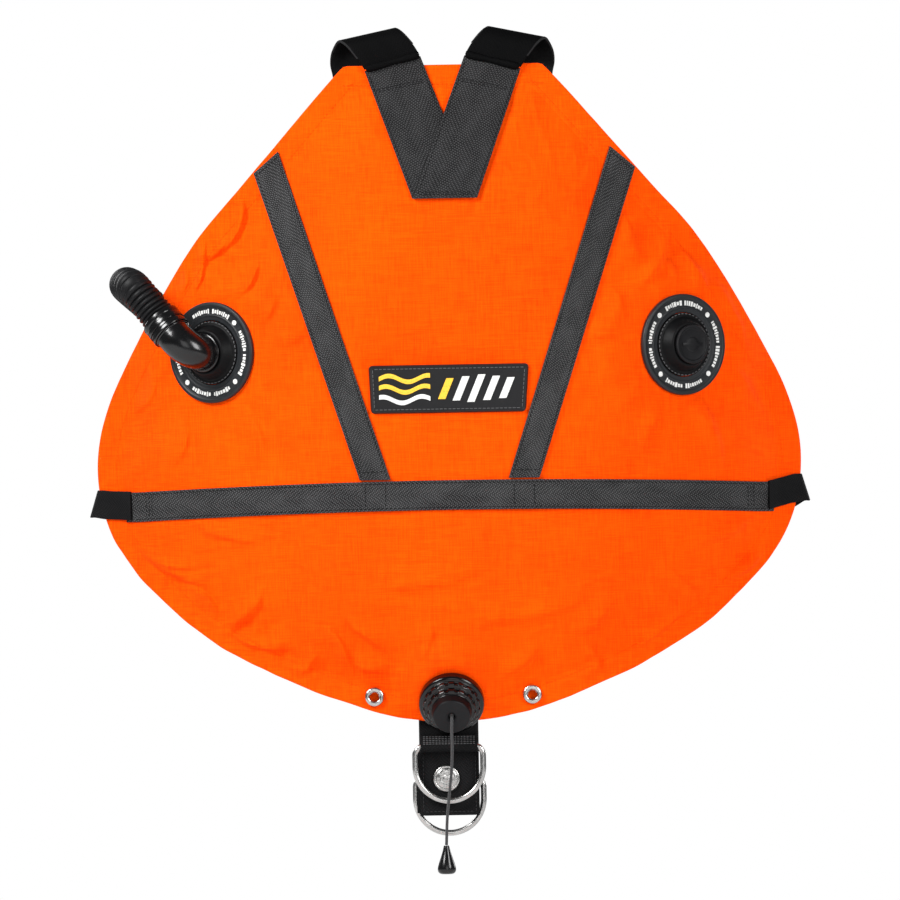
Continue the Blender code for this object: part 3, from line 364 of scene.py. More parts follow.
def moulded_rubber(name, colour, roughness, **sockets):
    """Moulded rubber: fine grain, faint bloom and scuffed high spots."""
    look = Look(name, colour, roughness, **sockets)
    cloud = look.noise(38.0, None, 5.0, 0.65)
    scuff = look.noise(210.0, None, 4.0, 0.7)
    share = look.times(look.ramp(cloud, 0.40, 0.72), look.ramp(scuff, 0.42, 0.68))
    look.colour(look.mix(share, colour, shade(colour, 1.5)))
    look.rough(look.between(scuff, roughness - 0.07, roughness + 0.12))
    look.bump(look.noise(1600.0, None, 2.0, 0.5), 0.00007, 0.5)
    look.bump(cloud, 0.00025, 0.15)
    return look.material


def gloss_plastic(name, colour, roughness, gloss):
    """Polished plastic with a trace of handling marks."""
    look = Look(name, colour, roughness, Specular_IOR_Level=gloss)
    smudge = look.noise(55.0, None, 5.0, 0.7)
    fine = look.noise(1.0, look.scaled(look.place, (300, 300, 2600)), 2.0, 0.5)
    look.rough(look.between(look.times(smudge, look.plus(fine, 0.5)),
                            roughness - 0.03, roughness + 0.13))
    look.colour(look.mix(look.ramp(smudge, 0.35, 0.7), colour, shade(colour, 1.6)))
    look.bump(look.noise(60.0, None, 2.0, 0.5), 0.0002, 0.015)
    return look.material


def matte_plastic(name, colour, roughness, **sockets):
    """Spark-finished plastic."""
    look = Look(name, colour, roughness, **sockets)
    spark = look.noise(2600.0, None, 1.0, 0.5)
    cloud = look.noise(60.0, None, 4.0, 0.6)
    look.colour(look.mix(look.ramp(cloud, 0.35, 0.7), colour, shade(colour, 1.45)))
    look.rough(look.between(cloud, roughness - 0.05, roughness + 0.09))
    look.bump(spark, 0.00006, 0.6)
    return look.material


def polished_steel(name, colour, roughness):
    """Drawn and polished stainless steel: fine scratches and dull patches."""
    look = Look(name, colour, roughness, 1.0)
    scratch = look.noise(1.0, look.scaled(look.place, (2600, 2600, 260)), 3.0, 0.6)
    patch = look.noise(95.0, None, 4.0, 0.6)
    look.rough(look.between(look.times(look.plus(scratch, patch), 0.5),
                            roughness - 0.05, roughness + 0.22))
    look.colour(look.mix(look.ramp(patch, 0.3, 0.7), shade(colour, 0.82), colour))
    look.bump(scratch, 0.00002, 0.5)
    return look.material


def braided_cord(name, dark, light):
    """A round braid: two sets of strands that cross at an angle, painted lighter on the strands' crowns and
    darker between them as painted highlight and painted shade.
    """
    look = Look(name, light, 0.8, Sheen_Weight=0.15)
    uv = look.cloth_map()
    along, round_it = look.axis("Y", uv), look.axis("X", uv)
    turn = look.times(round_it, 2 * math.pi * 4 * 0.0012)
    one = look.wave(look.plus(along, turn), 0.0024)
    two = look.wave(look.math("SUBTRACT", along, turn), 0.0024)
    strands = look.math("MAXIMUM", one, two)
    fuzz = look.noise(2400.0, None, 2.0, 0.5)
    # The colour follows the strands' height: painted highlight on their crowns, painted shade between them.
    share = look.times(strands, look.plus(fuzz, 0.4), clamp=True)
    look.colour(look.mix(share, dark, light))
    look.bump(look.plus(strands, look.times(fuzz, 0.3)), 0.0003, 0.8)
    return look.material


def thread(name, colour):
    look = Look(name, colour, 0.8, Specular_IOR_Level=0.03)
    twist = look.noise(1.0, look.scaled(look.place, (2200, 2200, 2200)), 2.0, 0.6)
    look.colour(look.mix(twist, shade(colour, 0.65), shade(colour, 1.2)))
    look.bump(twist, 0.00012, 0.6)
    return look.material


def printed_ink(name, colour):
    look = Look(name, colour, 0.5)
    worn = look.noise(700.0, None, 4.0, 0.7)
    look.colour(look.mix(look.ramp(worn, 0.30, 0.52), shade(colour, 0.55), colour))
    look.bump(worn, 0.00005, 0.4)
    return look.material


def clear_film(name, colour):
    """Coated film of the air cell, with pressed texture."""
    look = Look(name, colour, 0.42)
    press = look.times(look.wave(look.axis("X"), 0.0011), look.wave(look.axis("Z"), 0.0011))
    cloud = look.noise(22.0, None, 4.0, 0.6)
    look.colour(look.mix(cloud, shade(colour, 0.8), shade(colour, 1.15)))
    look.bump(press, 0.0002, 0.5)
    look.bump(cloud, 0.002, 0.3)
    return look.material


LOOKS = {
    "orange_fabric": woven_cloth("orange_cloth", (0.84, 0.040, 0.0002), (1.0, 0.093, 0.0007), 0.85,
                                 Specular_IOR_Level=0.03),
    "black_lining": woven_cloth("lining_cloth", (0.010, 0.010, 0.011), (0.026, 0.026, 0.028), 0.70, 0.0008),
    "air_cell_film": clear_film("cell_film", (0.23, 0.25, 0.28)),
    "dark_webbing": ribbed_web("webbing_weave", (0.004, 0.004, 0.0042), (0.088, 0.088, 0.0898), 0.80,
                               0.0017, gloss=0.10),
    "loop_band": ribbed_web("band_weave", (0.0010, 0.0010, 0.0011), (0.0031, 0.0031, 0.0033), 0.62,
                            0.0013, 0.35, 0.04),
    "tail_webbing": ribbed_web("tail_weave", (0.0040, 0.0040, 0.0043), (0.013, 0.013, 0.0136), 0.70,
                               0.0015, 0.5, 0.05),
    "badge_rubber": moulded_rubber("badge_rubber", (0.0080, 0.0080, 0.0088), 0.46, Specular_IOR_Level=0.22),
    "port_ring_rubber": moulded_rubber("ring_rubber", (0.0105, 0.012, 0.0137), 0.42, Specular_IOR_Level=0.28),
    "soft_rubber": moulded_rubber("boot_rubber", (0.0026, 0.0026, 0.0029), 0.46, Specular_IOR_Level=0.10),
    "matte_plastic": matte_plastic("dull_plastic", (0.0045, 0.0045, 0.0052), 0.42, Specular_IOR_Level=0.18),
    "gloss_plastic": gloss_plastic("bright_plastic", (0.0020, 0.0020, 0.0023), 0.14, 0.40),
    "hose_rubber": moulded_rubber("hose_rubber", (0.0052, 0.0052, 0.0057), 0.46, Specular_IOR_Level=0.15),
    "seal_rubber": moulded_rubber("seal_rubber", (0.030, 0.030, 0.030), 0.60),
    "red_button": matte_plastic("red_plastic", (0.42, 0.018, 0.012), 0.33),
    "stainless_steel": polished_steel("steel", (0.47, 0.465, 0.455), 0.15),
    "cord_braid": braided_cord("cord_weave", (0.006, 0.006, 0.0065), (0.040, 0.040, 0.042)),
    "zip_black": matte_plastic("zip_plastic", (0.010, 0.010, 0.011), 0.48),
}
WIDE_WEB = ribbed_web("wide_webbing_weave", (0.004, 0.004, 0.0042), (0.060, 0.060, 0.0613), 0.80, 0.0019,
                      gloss=0.08)
VALVE_PLASTIC = gloss_plastic("valve_plastic", (0.0012, 0.0012, 0.0014), 0.11, 0.34)
# A grey thread far lighter than the near-black loop bands: a painted highlight where the bands' edges catch
# the light.
SELVEDGE_HIGHLIGHT = thread("selvedge", (0.020, 0.020, 0.0205))
BLACK_THREAD = thread("black_thread", (0.012, 0.012, 0.0125))
ORANGE_THREAD = thread("orange_thread", (0.90, 0.060, 0.0005))
DARK_GREY_THREAD = thread("dark_grey_thread", (0.034, 0.034, 0.035))
GREY_THREAD = thread("grey_thread", (0.11, 0.11, 0.113))
WHITE_INK = printed_ink("white_ink", (0.72, 0.72, 0.70))
YELLOW_INK = printed_ink("yellow_ink", (0.86, 0.50, 0.03))


# ---- The shell's surfaces, as the CAD has them -----------------------------------------------------
def spline(a, b, c, d, t):
    """A point a share t of the way from b to c, on a smooth curve through all four."""
    return 0.5 * (2 * b + (c - a) * t + (2 * a - 5 * b + 4 * c - d) * t * t
                  + (3 * b - a - 3 * c + d) * t**3)


def outline_points():
    """The right half of the outline as a smooth line of (x, z), straight along the top edge."""
    corner = [Vector((x, 0, z)) for x, z in OUTLINE[1:-1]]
    mirror = Vector((-corner[-1].x, 0, corner[-1].z))
    bottom = Vector((OUTLINE[-1][0], 0, OUTLINE[-1][1]))
    knots = [corner[0] + Vector((-0.01, 0, 0))] + corner + [bottom, mirror]
    points = [(0.0, TOP_Z), (corner[0].x / 2, TOP_Z)]
    for i in range(1, len(knots) - 2):
        for k in range(OUTLINE_STEPS):
            p = spline(*knots[i - 1 : i + 3], k / OUTLINE_STEPS)
            points.append((p.x, p.z))
    points.append((0.0, BOTTOM_Z))
    return np.array(points)


EDGE = outline_points()
EDGE_HEIGHTS, EDGE_WIDTHS = EDGE[2:, 1][::-1], EDGE[2:, 0][::-1]


def smooth_step(value, low, high):
    share = np.clip((np.asarray(value, float) - low) / (high - low), 0, 1)
    return share * share * (3 - 2 * share)


def edge_distance(x, z):
    """How far each point inside the outline is from it."""
    x, z = np.broadcast_arrays(np.abs(np.asarray(x, float)), np.asarray(z, float))
    start, run = EDGE[:-1], EDGE[1:] - EDGE[:-1]
    best = np.full(x.shape, 9.0)
    for (sx, sz), (rx, rz) in zip(start, run):
        along = np.clip(((x - sx) * rx + (z - sz) * rz) / (rx * rx + rz * rz), 0, 1)
        best = np.minimum(best, np.hypot(x - sx - rx * along, z - sz - rz * along))
    return best


def middle_y(x):
    return WRAP * np.maximum(np.abs(x) - WRAP_START, 0.0) ** 2


def rise(x, z):
    share = np.clip((edge_distance(x, z) - HEM) / DOME, 0, 1)
    return share * (2 - share)


def plain_front_y(x, z):
    return middle_y(x) - SEAM_GAP - FABRIC - FRONT_RISE * rise(x, z)


PORT_Y = float(plain_front_y(PORT_X, PORT_Z)) - PORT_PROUD


def front_y(x, z):
    """The outer face of the front panel, flat round each port and round the dump valve."""
    x, z = np.broadcast_arrays(np.asarray(x, float), np.asarray(z, float))
    y = plain_front_y(x, z)
    near_port = 1 - smooth_step(np.hypot(np.abs(x) - PORT_X, z - PORT_Z), *PORT_FLAT)
    y = y + near_port * (PORT_Y + math.tan(PORT_TILT) * (np.abs(x) - PORT_X) - y)
    near_valve = 1 - smooth_step(np.hypot(x - VALVE[0], z - VALVE[2]), *VALVE_FLAT)
    return y + near_valve * (VALVE[1] - math.tan(VALVE_TILT) * (z - VALVE[2]) - y)


def back_y(x, z):
    return middle_y(x) + SEAM_GAP + FABRIC + BACK_RISE * rise(x, z)


def waist_bend(x):
    return -WAIST_DROOP * (np.minimum(np.abs(x), WAIST_END) / WAIST_END) ** 2


def axis_frame(origin, axis, up=(0, 0, 1)):
    """A matrix at `origin` whose Z is `axis` and whose Y lies near `up`."""
    z = Vector(axis).normalized()
    x = Vector(up).cross(z).normalized()
    y = z.cross(x)
    made = Matrix((x, y, z)).transposed().to_4x4()
    made.translation = origin
    return made


def port_frame(side):
    normal = (side * math.sin(PORT_TILT), -math.cos(PORT_TILT), 0)
    return axis_frame(Vector((side * PORT_X, PORT_Y, PORT_Z)), normal)


def valve_frame():
    return axis_frame(Vector(VALVE), (0, -math.cos(VALVE_TILT), -math.sin(VALVE_TILT)))


def smooth_route(route, step):
    """Points about `step` apart on a smooth curve through the route's points."""
    knots = [Vector(p) for p in route]
    ends = [2 * knots[0] - knots[1]] + knots + [2 * knots[-1] - knots[-2]]
    points = []
    for i in range(1, len(ends) - 2):
        count = max(1, round((ends[i + 1] - ends[i]).length / step))
        points += [spline(*ends[i - 1 : i + 3], k / count) for k in range(count)]
    points.append(knots[-1])
    return points


# ---- Mesh building -----------------------------------------------------------------------------
def add_piece(name, points, faces, look, body=WING, replaces=(), uv=None, sharp=40, slot=None,
              outward=True):
    """One mesh piece that rides on a body and stands for the CAD nodes it replaces."""
    mesh = bpy.data.meshes.new(name)
    mesh.from_pydata([tuple(p) for p in points], [], [tuple(f) for f in faces])
    if uv is not None:
        layer = mesh.uv_layers.new(name="cloth")
        corners = np.empty(len(mesh.loops), np.int32)
        mesh.loops.foreach_get("vertex_index", corners)
        layer.data.foreach_set("uv", np.asarray(uv, np.float32)[corners].ravel())
    if outward:
        face_out(mesh)
    mesh.shade_smooth()
    mesh.set_sharp_from_angle(angle=math.radians(sharp))
    mesh.materials.append(LOOKS[look] if isinstance(look, str) else look)
    piece = bpy.data.objects.new(name, mesh)
    bpy.context.scene.collection.objects.link(piece)
    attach(piece, body)
    if replaces:
        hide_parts(*replaces)
    return piece


def face_out(mesh):
    """Turns the whole mesh right way out, which suits a closed mesh with consistent faces."""
    mesh.calc_loop_triangles()
    points = np.empty(len(mesh.vertices) * 3)
    mesh.vertices.foreach_get("co", points)
    points = points.reshape(-1, 3)
    corners = np.empty(len(mesh.loop_triangles) * 3, np.int32)
    mesh.loop_triangles.foreach_get("vertices", corners)
    a, b, c = (points[corners.reshape(-1, 3)[:, k]] for k in range(3))
    if (a * np.cross(b, c)).sum() < 0:
        mesh.flip_normals()


def grid_faces(rows, columns, start=0):
    """Quads over a grid of points that closes on itself across its columns."""
    faces = []
    for i in range(rows - 1):
        for j in range(columns):
            n = (j + 1) % columns
            faces.append((start + i * columns + j, start + i * columns + n,
                          start + (i + 1) * columns + n, start + (i + 1) * columns + j))
    return faces


def bar_faces(rings, sides, start=0):
    """The sides and both ends of a bar made of rings of points."""
    last = start + (rings - 1) * sides
    return grid_faces(rings, sides, start) + [
        tuple(start + k for k in range(sides))[::-1], tuple(last + k for k in range(sides))]


def slab(name, front, back, look, keep=None, **rest):
    """A closed solid between two grids of the same size. `keep` marks the cells that it has."""
    rows, columns = front.shape[:2]
    size = rows * columns
    keep = np.ones((rows - 1, columns - 1), bool) if keep is None else keep
    grid = np.arange(size).reshape(rows, columns)
    a, b = grid[:-1, :-1][keep], grid[:-1, 1:][keep]
    c, d = grid[1:, 1:][keep], grid[1:, :-1][keep]
    faces = list(zip(a, b, c, d)) + list(zip(d + size, c + size, b + size, a + size))
    padded = np.zeros((rows + 1, columns + 1), bool)
    padded[1:-1, 1:-1] = keep
    for i in range(rows - 1):
        for j in range(columns - 1):
            if not keep[i, j]:
                continue
            ring = ((i, j), (i, j + 1), (i + 1, j + 1), (i + 1, j))
            beside = ((i - 1, j), (i, j + 1), (i + 1, j), (i, j - 1))
            for k in range(4):
                if padded[beside[k][0] + 1, beside[k][1] + 1]:
                    continue
                p, q = grid[ring[k]], grid[ring[(k + 1) % 4]]
                faces.append((q, p, p + size, q + size))
    points = np.concatenate([front.reshape(-1, 3), back.reshape(-1, 3)])
    used = np.zeros(len(points), bool)
    flat = np.array(faces)
    used[flat.ravel()] = True
    renumber = np.cumsum(used) - 1
    uv = rest.pop("uv", None)
    if uv is not None:
        rest["uv"] = np.concatenate([uv.reshape(-1, 2), uv.reshape(-1, 2)])[used]
    return add_piece(name, points[used], renumber[flat], look, **rest)


def rounded(profile, radius, steps=3):
    """A profile with its corners rounded. A point on the axis stays sharp."""
    points = [Vector((r, h)) for r, h in profile]
    made = []
    count = len(points)
    for i, p in enumerate(points):
        a, b = points[i - 1] - p, points[(i + 1) % count] - p
        touching = min(a.length, b.length) < 1e-7
        if p.x < 1e-6 or touching or abs(a.normalized().dot(b.normalized())) > 0.998:
            made.append(p)
            continue
        reach = min(radius, a.length * 0.45, b.length * 0.45)
        start, end = p + a.normalized() * reach, p + b.normalized() * reach
        for k in range(steps + 1):
            t = k / steps
            made.append(start * (1 - t) ** 2 + p * 2 * t * (1 - t) + end * t**2)
    return [(p.x, p.y) for p in made]


def lathe(name, profile, place, look, sides, ripple=None, **rest):
    """A profile of (radius, height) turned about the frame's Z. `ripple` changes the radius with the
    angle: ripple(radius, height, angle)."""
    points, rings = [], []
    for radius, height in profile:
        if radius < 1e-6:
            rings.append([len(points)])
            points.append(place @ Vector((0, 0, height)))
            continue
        rings.append(list(range(len(points), len(points) + sides)))
        for k in range(sides):
            turn = 2 * math.pi * k / sides
            r = ripple(radius, height, turn) if ripple else radius
            points.append(place @ Vector((r * math.cos(turn), r * math.sin(turn), height)))
    pairs = list(zip(rings, rings[1:]))
    if len(rings[0]) > 1:
        pairs.append((rings[-1], rings[0]))
    faces = []
    for a, b in pairs:
        for k in range(sides):
            n = (k + 1) % sides
            face = [a[k % len(a)], a[n % len(a)], b[n % len(b)], b[k % len(b)]]
            faces.append(list(dict.fromkeys(face)))
    return add_piece(name, points, [f for f in faces if len(f) > 2], look, **rest)


def spokes_along(path, sides, closed):
    """For each point of a path, unit vectors round it that don't twist along it."""
    count = len(path)
    normal, rings = None, []
    for i in range(count):
        if closed:
            tangent = path[(i + 1) % count] - path[i - 1]
        else:
            tangent = path[min(i + 1, count - 1)] - path[max(i - 1, 0)]
        tangent = tangent.normalized()
        if normal is None:
            normal = tangent.cross(Vector((0.13, 1, 0.07))).normalized()
        normal = (normal - tangent * normal.dot(tangent)).normalized()
        side = tangent.cross(normal)
        rings.append([normal * math.cos(2 * math.pi * k / sides)
                      + side * math.sin(2 * math.pi * k / sides) for k in range(sides)])
    return rings


def tube(name, path, outer, look, inner=None, sides=32, closed=False, **rest):
    """A round bar along a path or, with `inner` radii, a tube with a bore. UVs are metres."""
    count = len(path)
    rings = spokes_along(path, sides, closed)
    radii = outer if hasattr(outer, "__len__") else [outer] * count
    lengths = np.concatenate([[0], np.cumsum([(b - a).length for a, b in zip(path, path[1:])])])
    points = [c + s * radii[i] for i, c in enumerate(path) for s in rings[i]]
    uv = [(k / sides, lengths[i]) for i in range(count) for k in range(sides)]
    faces = grid_faces(count, sides)
    last = (count - 1) * sides
    if closed:
        faces += [(last + k, last + (k + 1) % sides, (k + 1) % sides, k) for k in range(sides)]
    elif inner is None:
        faces = bar_faces(count, sides)
    else:
        start = len(points)
        points += [c + s * inner[i] for i, c in enumerate(path) for s in rings[i]]
        uv += uv[:start]
        faces += [f[::-1] for f in grid_faces(count, sides, start=start)]
        for k in range(sides):
            n = (k + 1) % sides
            faces.append((n, k, start + k, start + n))
            faces.append((last + k, last + n, start + last + n, start + last + k))
    return add_piece(name, points, faces, look, uv=uv, **rest)


def web_section(width, thickness, columns):
    """The outline of webbing cut across: (across, height), flat with round selvedges."""
    half, lift, edge = width / 2, thickness / 2, 0.0007
    turns = [math.pi * k / 6 for k in range(1, 6)]
    top = []
    for k in range(columns + 1):
        across = -half + edge + (width - 2 * edge) * k / columns
        top.append((across, thickness))
    right = [(half - edge + edge * math.sin(a), lift + lift * math.cos(a)) for a in turns]
    low = [(across, 0.0) for across, _ in top[::-1]]
    left = [(-half + edge - edge * math.sin(a), lift - lift * math.cos(a)) for a in turns]
    return top + right + low + left


def web_from_rings(name, rings, lengths, section, look, **rest):
    """Webbing through rings of points, each one cut across it, with capped ends."""
    points = [p for ring in rings for p in ring]
    uv = [(across, along) for along in lengths for across, _ in section]
    return add_piece(name, points, bar_faces(len(rings), len(section)), look, uv=uv, sharp=50, **rest)


def draped_web(name, corners, look, lift, bend=None, **rest):
    """Webbing laid on the front panel inside four (x, z) corners: top left, top right, bottom right,
    bottom left. `lift` is a function of (x, z)."""
    corner = [Vector(c) for c in corners]
    long = ((corner[3] - corner[0]).length + (corner[2] - corner[1]).length) / 2
    wide = (corner[1] - corner[0]).length
    rows = max(4, round(long / 0.0025))
    section = web_section(wide, WEB_THICK, 18 if wide > 0.03 else 10)
    rings, lengths = [], []
    for i in range(rows + 1):
        left, right = corner[0].lerp(corner[3], i / rows), corner[1].lerp(corner[2], i / rows)
        across = np.array([a / wide + 0.5 for a, _ in section])
        x = left.x + (right.x - left.x) * across
        z = left.y + (right.y - left.y) * across
        if bend:
            z = z + bend(x)
        y = front_y(x, z) - lift(x, z) - np.array([h for _, h in section])
        rings.append(list(zip(x, y, z)))
        lengths.append(long * i / rows)
    return web_from_rings(name, rings, lengths, section, look, **rest)


def routed_web(name, stations, width, thickness, look, step=0.003, **rest):
    """Webbing through (centre, across) stations, its thickness on both sides of the centre."""
    centres = [Vector(c) for c, _ in stations]
    ends = [2 * centres[0] - centres[1]] + centres + [2 * centres[-1] - centres[-2]]
    crosses = [Vector(a).normalized() for _, a in stations]
    crosses = [crosses[0]] + crosses + [crosses[-1]]
    path, across = [], []
    for i in range(1, len(ends) - 2):
        count = max(2, round((ends[i + 1] - ends[i]).length / step))
        for k in range(count):
            path.append(spline(*ends[i - 1 : i + 3], k / count))
            across.append(spline(*crosses[i - 1 : i + 3], k / count))
    path.append(centres[-1])
    across.append(crosses[-1])
    section = web_section(width, thickness, 16)
    rings, lengths, along = [], [], 0.0
    for i, centre in enumerate(path):
        tangent = (path[min(i + 1, len(path) - 1)] - path[max(i - 1, 0)]).normalized()
        side = across[i].normalized()
        out = tangent.cross(side).normalized()
        rings.append([centre + side * a + out * (h - thickness / 2) for a, h in section])
        along += (centre - path[i - 1]).length if i else 0.0
        lengths.append(along)
    return web_from_rings(name, rings, lengths, section, look, **rest)


class Stitching:
    """Many thread stitches gathered into one piece."""

    def __init__(self):
        self.points, self.faces = [], []

    def one(self, start, end, out, radius=0.00032):
        """A stitch that rises from the cloth, runs along it and dives back."""
        along = end - start
        side = along.cross(out).normalized()
        sides, stations = 6, ((0.0, -0.9), (0.18, 0.35), (0.5, 0.75), (0.82, 0.35), (1.0, -0.9))
        base = len(self.points)
        for share, height in stations:
            centre = start + along * share + out * radius * height
            for k in range(sides):
                turn = 2 * math.pi * k / sides
                self.points.append(centre + side * radius * math.cos(turn) + out * radius * math.sin(turn))
        self.faces += bar_faces(len(stations), sides, base)

    def line(self, points, outs, pitch=0.0036, length=0.0026):
        """Stitches along a line of points, with the outward direction at each."""
        lengths = np.concatenate([[0], np.cumsum([(b - a).length for a, b in zip(points, points[1:])])])
        flat, out = np.array([tuple(p) for p in points]), np.array([tuple(o) for o in outs])
        at = pitch / 2
        while at + length < lengths[-1]:
            ends = []
            for s in (at, at + length):
                ends.append(Vector([np.interp(s, lengths, flat[:, k]) for k in range(3)]))
            way = Vector([np.interp(at, lengths, out[:, k]) for k in range(3)])
            self.one(*ends, way.normalized())
            at += pitch

    def on_panel(self, line, lift, bend=None, side=-1, surface=front_y):
        """Stitches along a line of (x, z) points over a panel, the front one unless told."""
        step, small = 0.004, 0.002
        route = []
        for (ax, az), (bx, bz) in zip(line, line[1:]):
            count = max(1, round(math.hypot(bx - ax, bz - az) / step))
            route += [(ax + (bx - ax) * k / count, az + (bz - az) * k / count) for k in range(count)]
        route.append(line[-1])
        x, z = np.array(route).T
        if bend:
            z = z + bend(x)
        height = lift(x, z) if callable(lift) else lift
        y = surface(x, z) + side * height
        slope_x = (surface(x + small, z) - surface(x - small, z)) / (2 * small)
        slope_z = (surface(x, z + small) - surface(x, z - small)) / (2 * small)
        outs = [Vector((-side * sx, side, -side * sz)).normalized() for sx, sz in zip(slope_x, slope_z)]
        self.line([Vector(p) for p in zip(x, y, z)], outs)

    def make(self, name, look, slot):
        return add_piece(name, self.points, self.faces, look, slot=slot, sharp=80)


# ---- Hose and cord ---------------------------------------------------------------------------------
def elbow_axes():
    """The port's axis, the elbow's second axis and their crossing."""
    place = port_frame(-1)
    normal = place.col[2].to_3d()
    outward = Vector((-math.cos(PORT_TILT), math.sin(PORT_TILT), 0))
    second = math.cos(ELBOW_TURN) * Vector((0, 0, 1)) + math.sin(ELBOW_TURN) * outward
    return normal, second, place.translation + normal * ELBOW_CORNER


def dense(path, step):
    """A path read again at an even step."""
    flat = np.array([tuple(p) for p in path])
    lengths = np.concatenate([[0], np.cumsum(np.linalg.norm(np.diff(flat, axis=0), axis=1))])
    count = max(2, round(lengths[-1] / step))
    at = np.linspace(0, lengths[-1], count + 1)
    return [Vector([np.interp(s, lengths, flat[:, k]) for k in range(3)]) for s in at], at


def make_hose():
    """The corrugated hose: rings 4.2 mm apart, with a plain stretch inside each cuff."""
    _, second, corner = elbow_axes()
    start = corner + second * HOSE_START
    route = smooth_route((start, start + second * HOSE_STRAIGHT) + HOSE_ROUTE, 0.004)
    ridge, depth, plain = 0.0042, 0.0021, 0.0080
    path, at = dense(route, ridge / 8)
    whole = at[-1]
    radii = []
    for s in at:
        wave = 0.5 + 0.5 * math.cos(2 * math.pi * s / ridge)
        crest = wave**0.45
        inside = float(smooth_step(min(s, whole - s), plain - 0.003, plain))
        radii.append(HOSE_D / 2 - 0.0002 - depth * (1 - crest) * inside - 0.0006 * (1 - inside))
    hose = tube("corrugated_hose_ridged", path, radii, "hose_rubber", sides=40, body=ARM,
                replaces=["corrugated_hose"])
    return hose, path, float(whole)


def make_cord():
    place = valve_frame()
    start = place @ Vector((0, 0, VALVE_TOP + GAP))
    second = place @ Vector((0, 0, VALVE_TOP + 0.0040)) + Vector((0, 0, -0.0020))
    route = smooth_route((tuple(start), tuple(second)) + CORD_ROUTE, 0.0025)
    path, at = dense(route, 0.0009)
    cord = tube("pull_cord_braid", path, CORD_D / 2, "cord_braid", sides=16, body=PULL,
                replaces=["pull_cord"])
    return cord, path, float(at[-1])


def make_bead():
    """A glossy drop-shaped bead with a small collar."""
    end = Vector(CORD_ROUTE[-1]) - Vector((0, 0, GAP))
    profile = [(0, 0), (0.0021, 0), (0.0024, -0.0008), (0.0027, -0.0022), (0.0034, -0.0050),
               (0.0044, -0.0082), (0.0055, -0.0115), (0.0066, -0.0148), (0.0074, -0.0176),
               (BEAD_R, -0.0197), (0.0076, -0.0212), (0.0069, -0.0226), (0.0056, -0.0236),
               (0.0040, -BEAD_LENGTH), (0.0022, -BEAD_LENGTH), (0.0018, -0.0232), (0, -0.0232)]
    return lathe("pull_bead_drop", profile, Matrix.Translation(end), "gloss_plastic", 64, body=PULL,
                 replaces=["pull_bead"])


HOSE, HOSE_PATH, HOSE_LENGTH = make_hose()
CORD, CORD_PATH, CORD_LENGTH = make_cord()
make_bead()


# ---- How the cloth creases ---------------------------------------------------------------------------
DIAGONAL = ((0.1500, -0.1085), (0.0625, -0.3780))
V_LINE = ((0.0420, -0.0275), (0.0, -0.1415))
BADGE_BOX = (-0.0668, 0.0682, -0.3218, -0.2807)
# Long soft creases: both ends (x, z), their half width and how far they stand out.
CREASES = (
    ((-0.166, -0.141), (-0.184, -0.184), 0.0036, 0.0021),
    ((-0.184, -0.176), (-0.2, -0.192), 0.0036, 0.0015),
    ((-0.2, -0.173), (-0.207, -0.216), 0.0034, 0.0019),
    ((-0.219, -0.195), (-0.22, -0.217), 0.0036, 0.0013),
    ((-0.157, -0.197), (-0.171, -0.219), 0.0038, 0.0016),
    ((-0.143, -0.222), (-0.152, -0.243), 0.0046, 0.0012),
    ((-0.135, -0.262), (-0.104, -0.25), 0.0044, 0.0009),
    ((-0.172, -0.312), (-0.15, -0.352), 0.0048, 0.0014),
    ((-0.215, -0.312), (-0.228, -0.362), 0.005, 0.0017),
    ((-0.243, -0.292), (-0.262, -0.318), 0.0044, 0.0013),
    ((0.194, -0.174), (0.171, -0.217), 0.0036, 0.002), ((0.199, -0.186), (0.221, -0.218), 0.0036, 0.0019),
    ((0.19, -0.196), (0.194, -0.212), 0.0034, 0.0013), ((0.148, -0.15), (0.163, -0.196), 0.0044, 0.0011),
    ((0.143, -0.222), (0.15, -0.243), 0.0046, 0.0011), ((0.232, -0.216), (0.252, -0.262), 0.0042, 0.0014),
    ((0.216, -0.312), (0.232, -0.366), 0.005, 0.0017), ((0.18, -0.314), (0.166, -0.356), 0.0046, 0.0013),
    ((0.243, -0.288), (0.264, -0.32), 0.0044, 0.0013), ((0.134, -0.262), (0.11, -0.25), 0.0044, 0.0009),
    ((-0.264, -0.435), (-0.215, -0.465), 0.0036, 0.0022),
    ((-0.215, -0.465), (-0.197, -0.485), 0.0036, 0.0019),
    ((-0.251, -0.443), (-0.21, -0.45), 0.004, 0.0016),
    ((-0.181, -0.509), (-0.141, -0.521), 0.0034, 0.0019),
    ((-0.222, -0.41), (-0.165, -0.431), 0.005, 0.0013),
    ((-0.176, -0.498), (-0.158, -0.47), 0.004, 0.0014),
    ((-0.102, -0.501), (-0.083, -0.533), 0.0036, 0.0018),
    ((-0.083, -0.533), (-0.059, -0.539), 0.0036, 0.0013),
    ((-0.088, -0.496), (-0.059, -0.521), 0.004, 0.0014),
    ((-0.128, -0.54), (-0.112, -0.522), 0.0034, 0.0013),
    ((0.161, -0.521), (0.195, -0.496), 0.0034, 0.0018),
    ((0.234, -0.467), (0.263, -0.448), 0.0036, 0.0019),
    ((0.206, -0.478), (0.182, -0.452), 0.0042, 0.0014),
    ((0.258, -0.415), (0.212, -0.436), 0.0046, 0.0015), ((0.11, -0.51), (0.136, -0.486), 0.0046, 0.0012),
    ((0.126, -0.538), (0.116, -0.52), 0.0034, 0.0013), ((-0.06, -0.47), (0.02, -0.462), 0.007, 0.0009),
    ((0.03, -0.5), (0.105, -0.488), 0.007, 0.0009), ((0.046, -0.543), (0.072, -0.522), 0.004, 0.0013),
    ((-0.03, -0.53), (-0.012, -0.505), 0.005, 0.001),
)


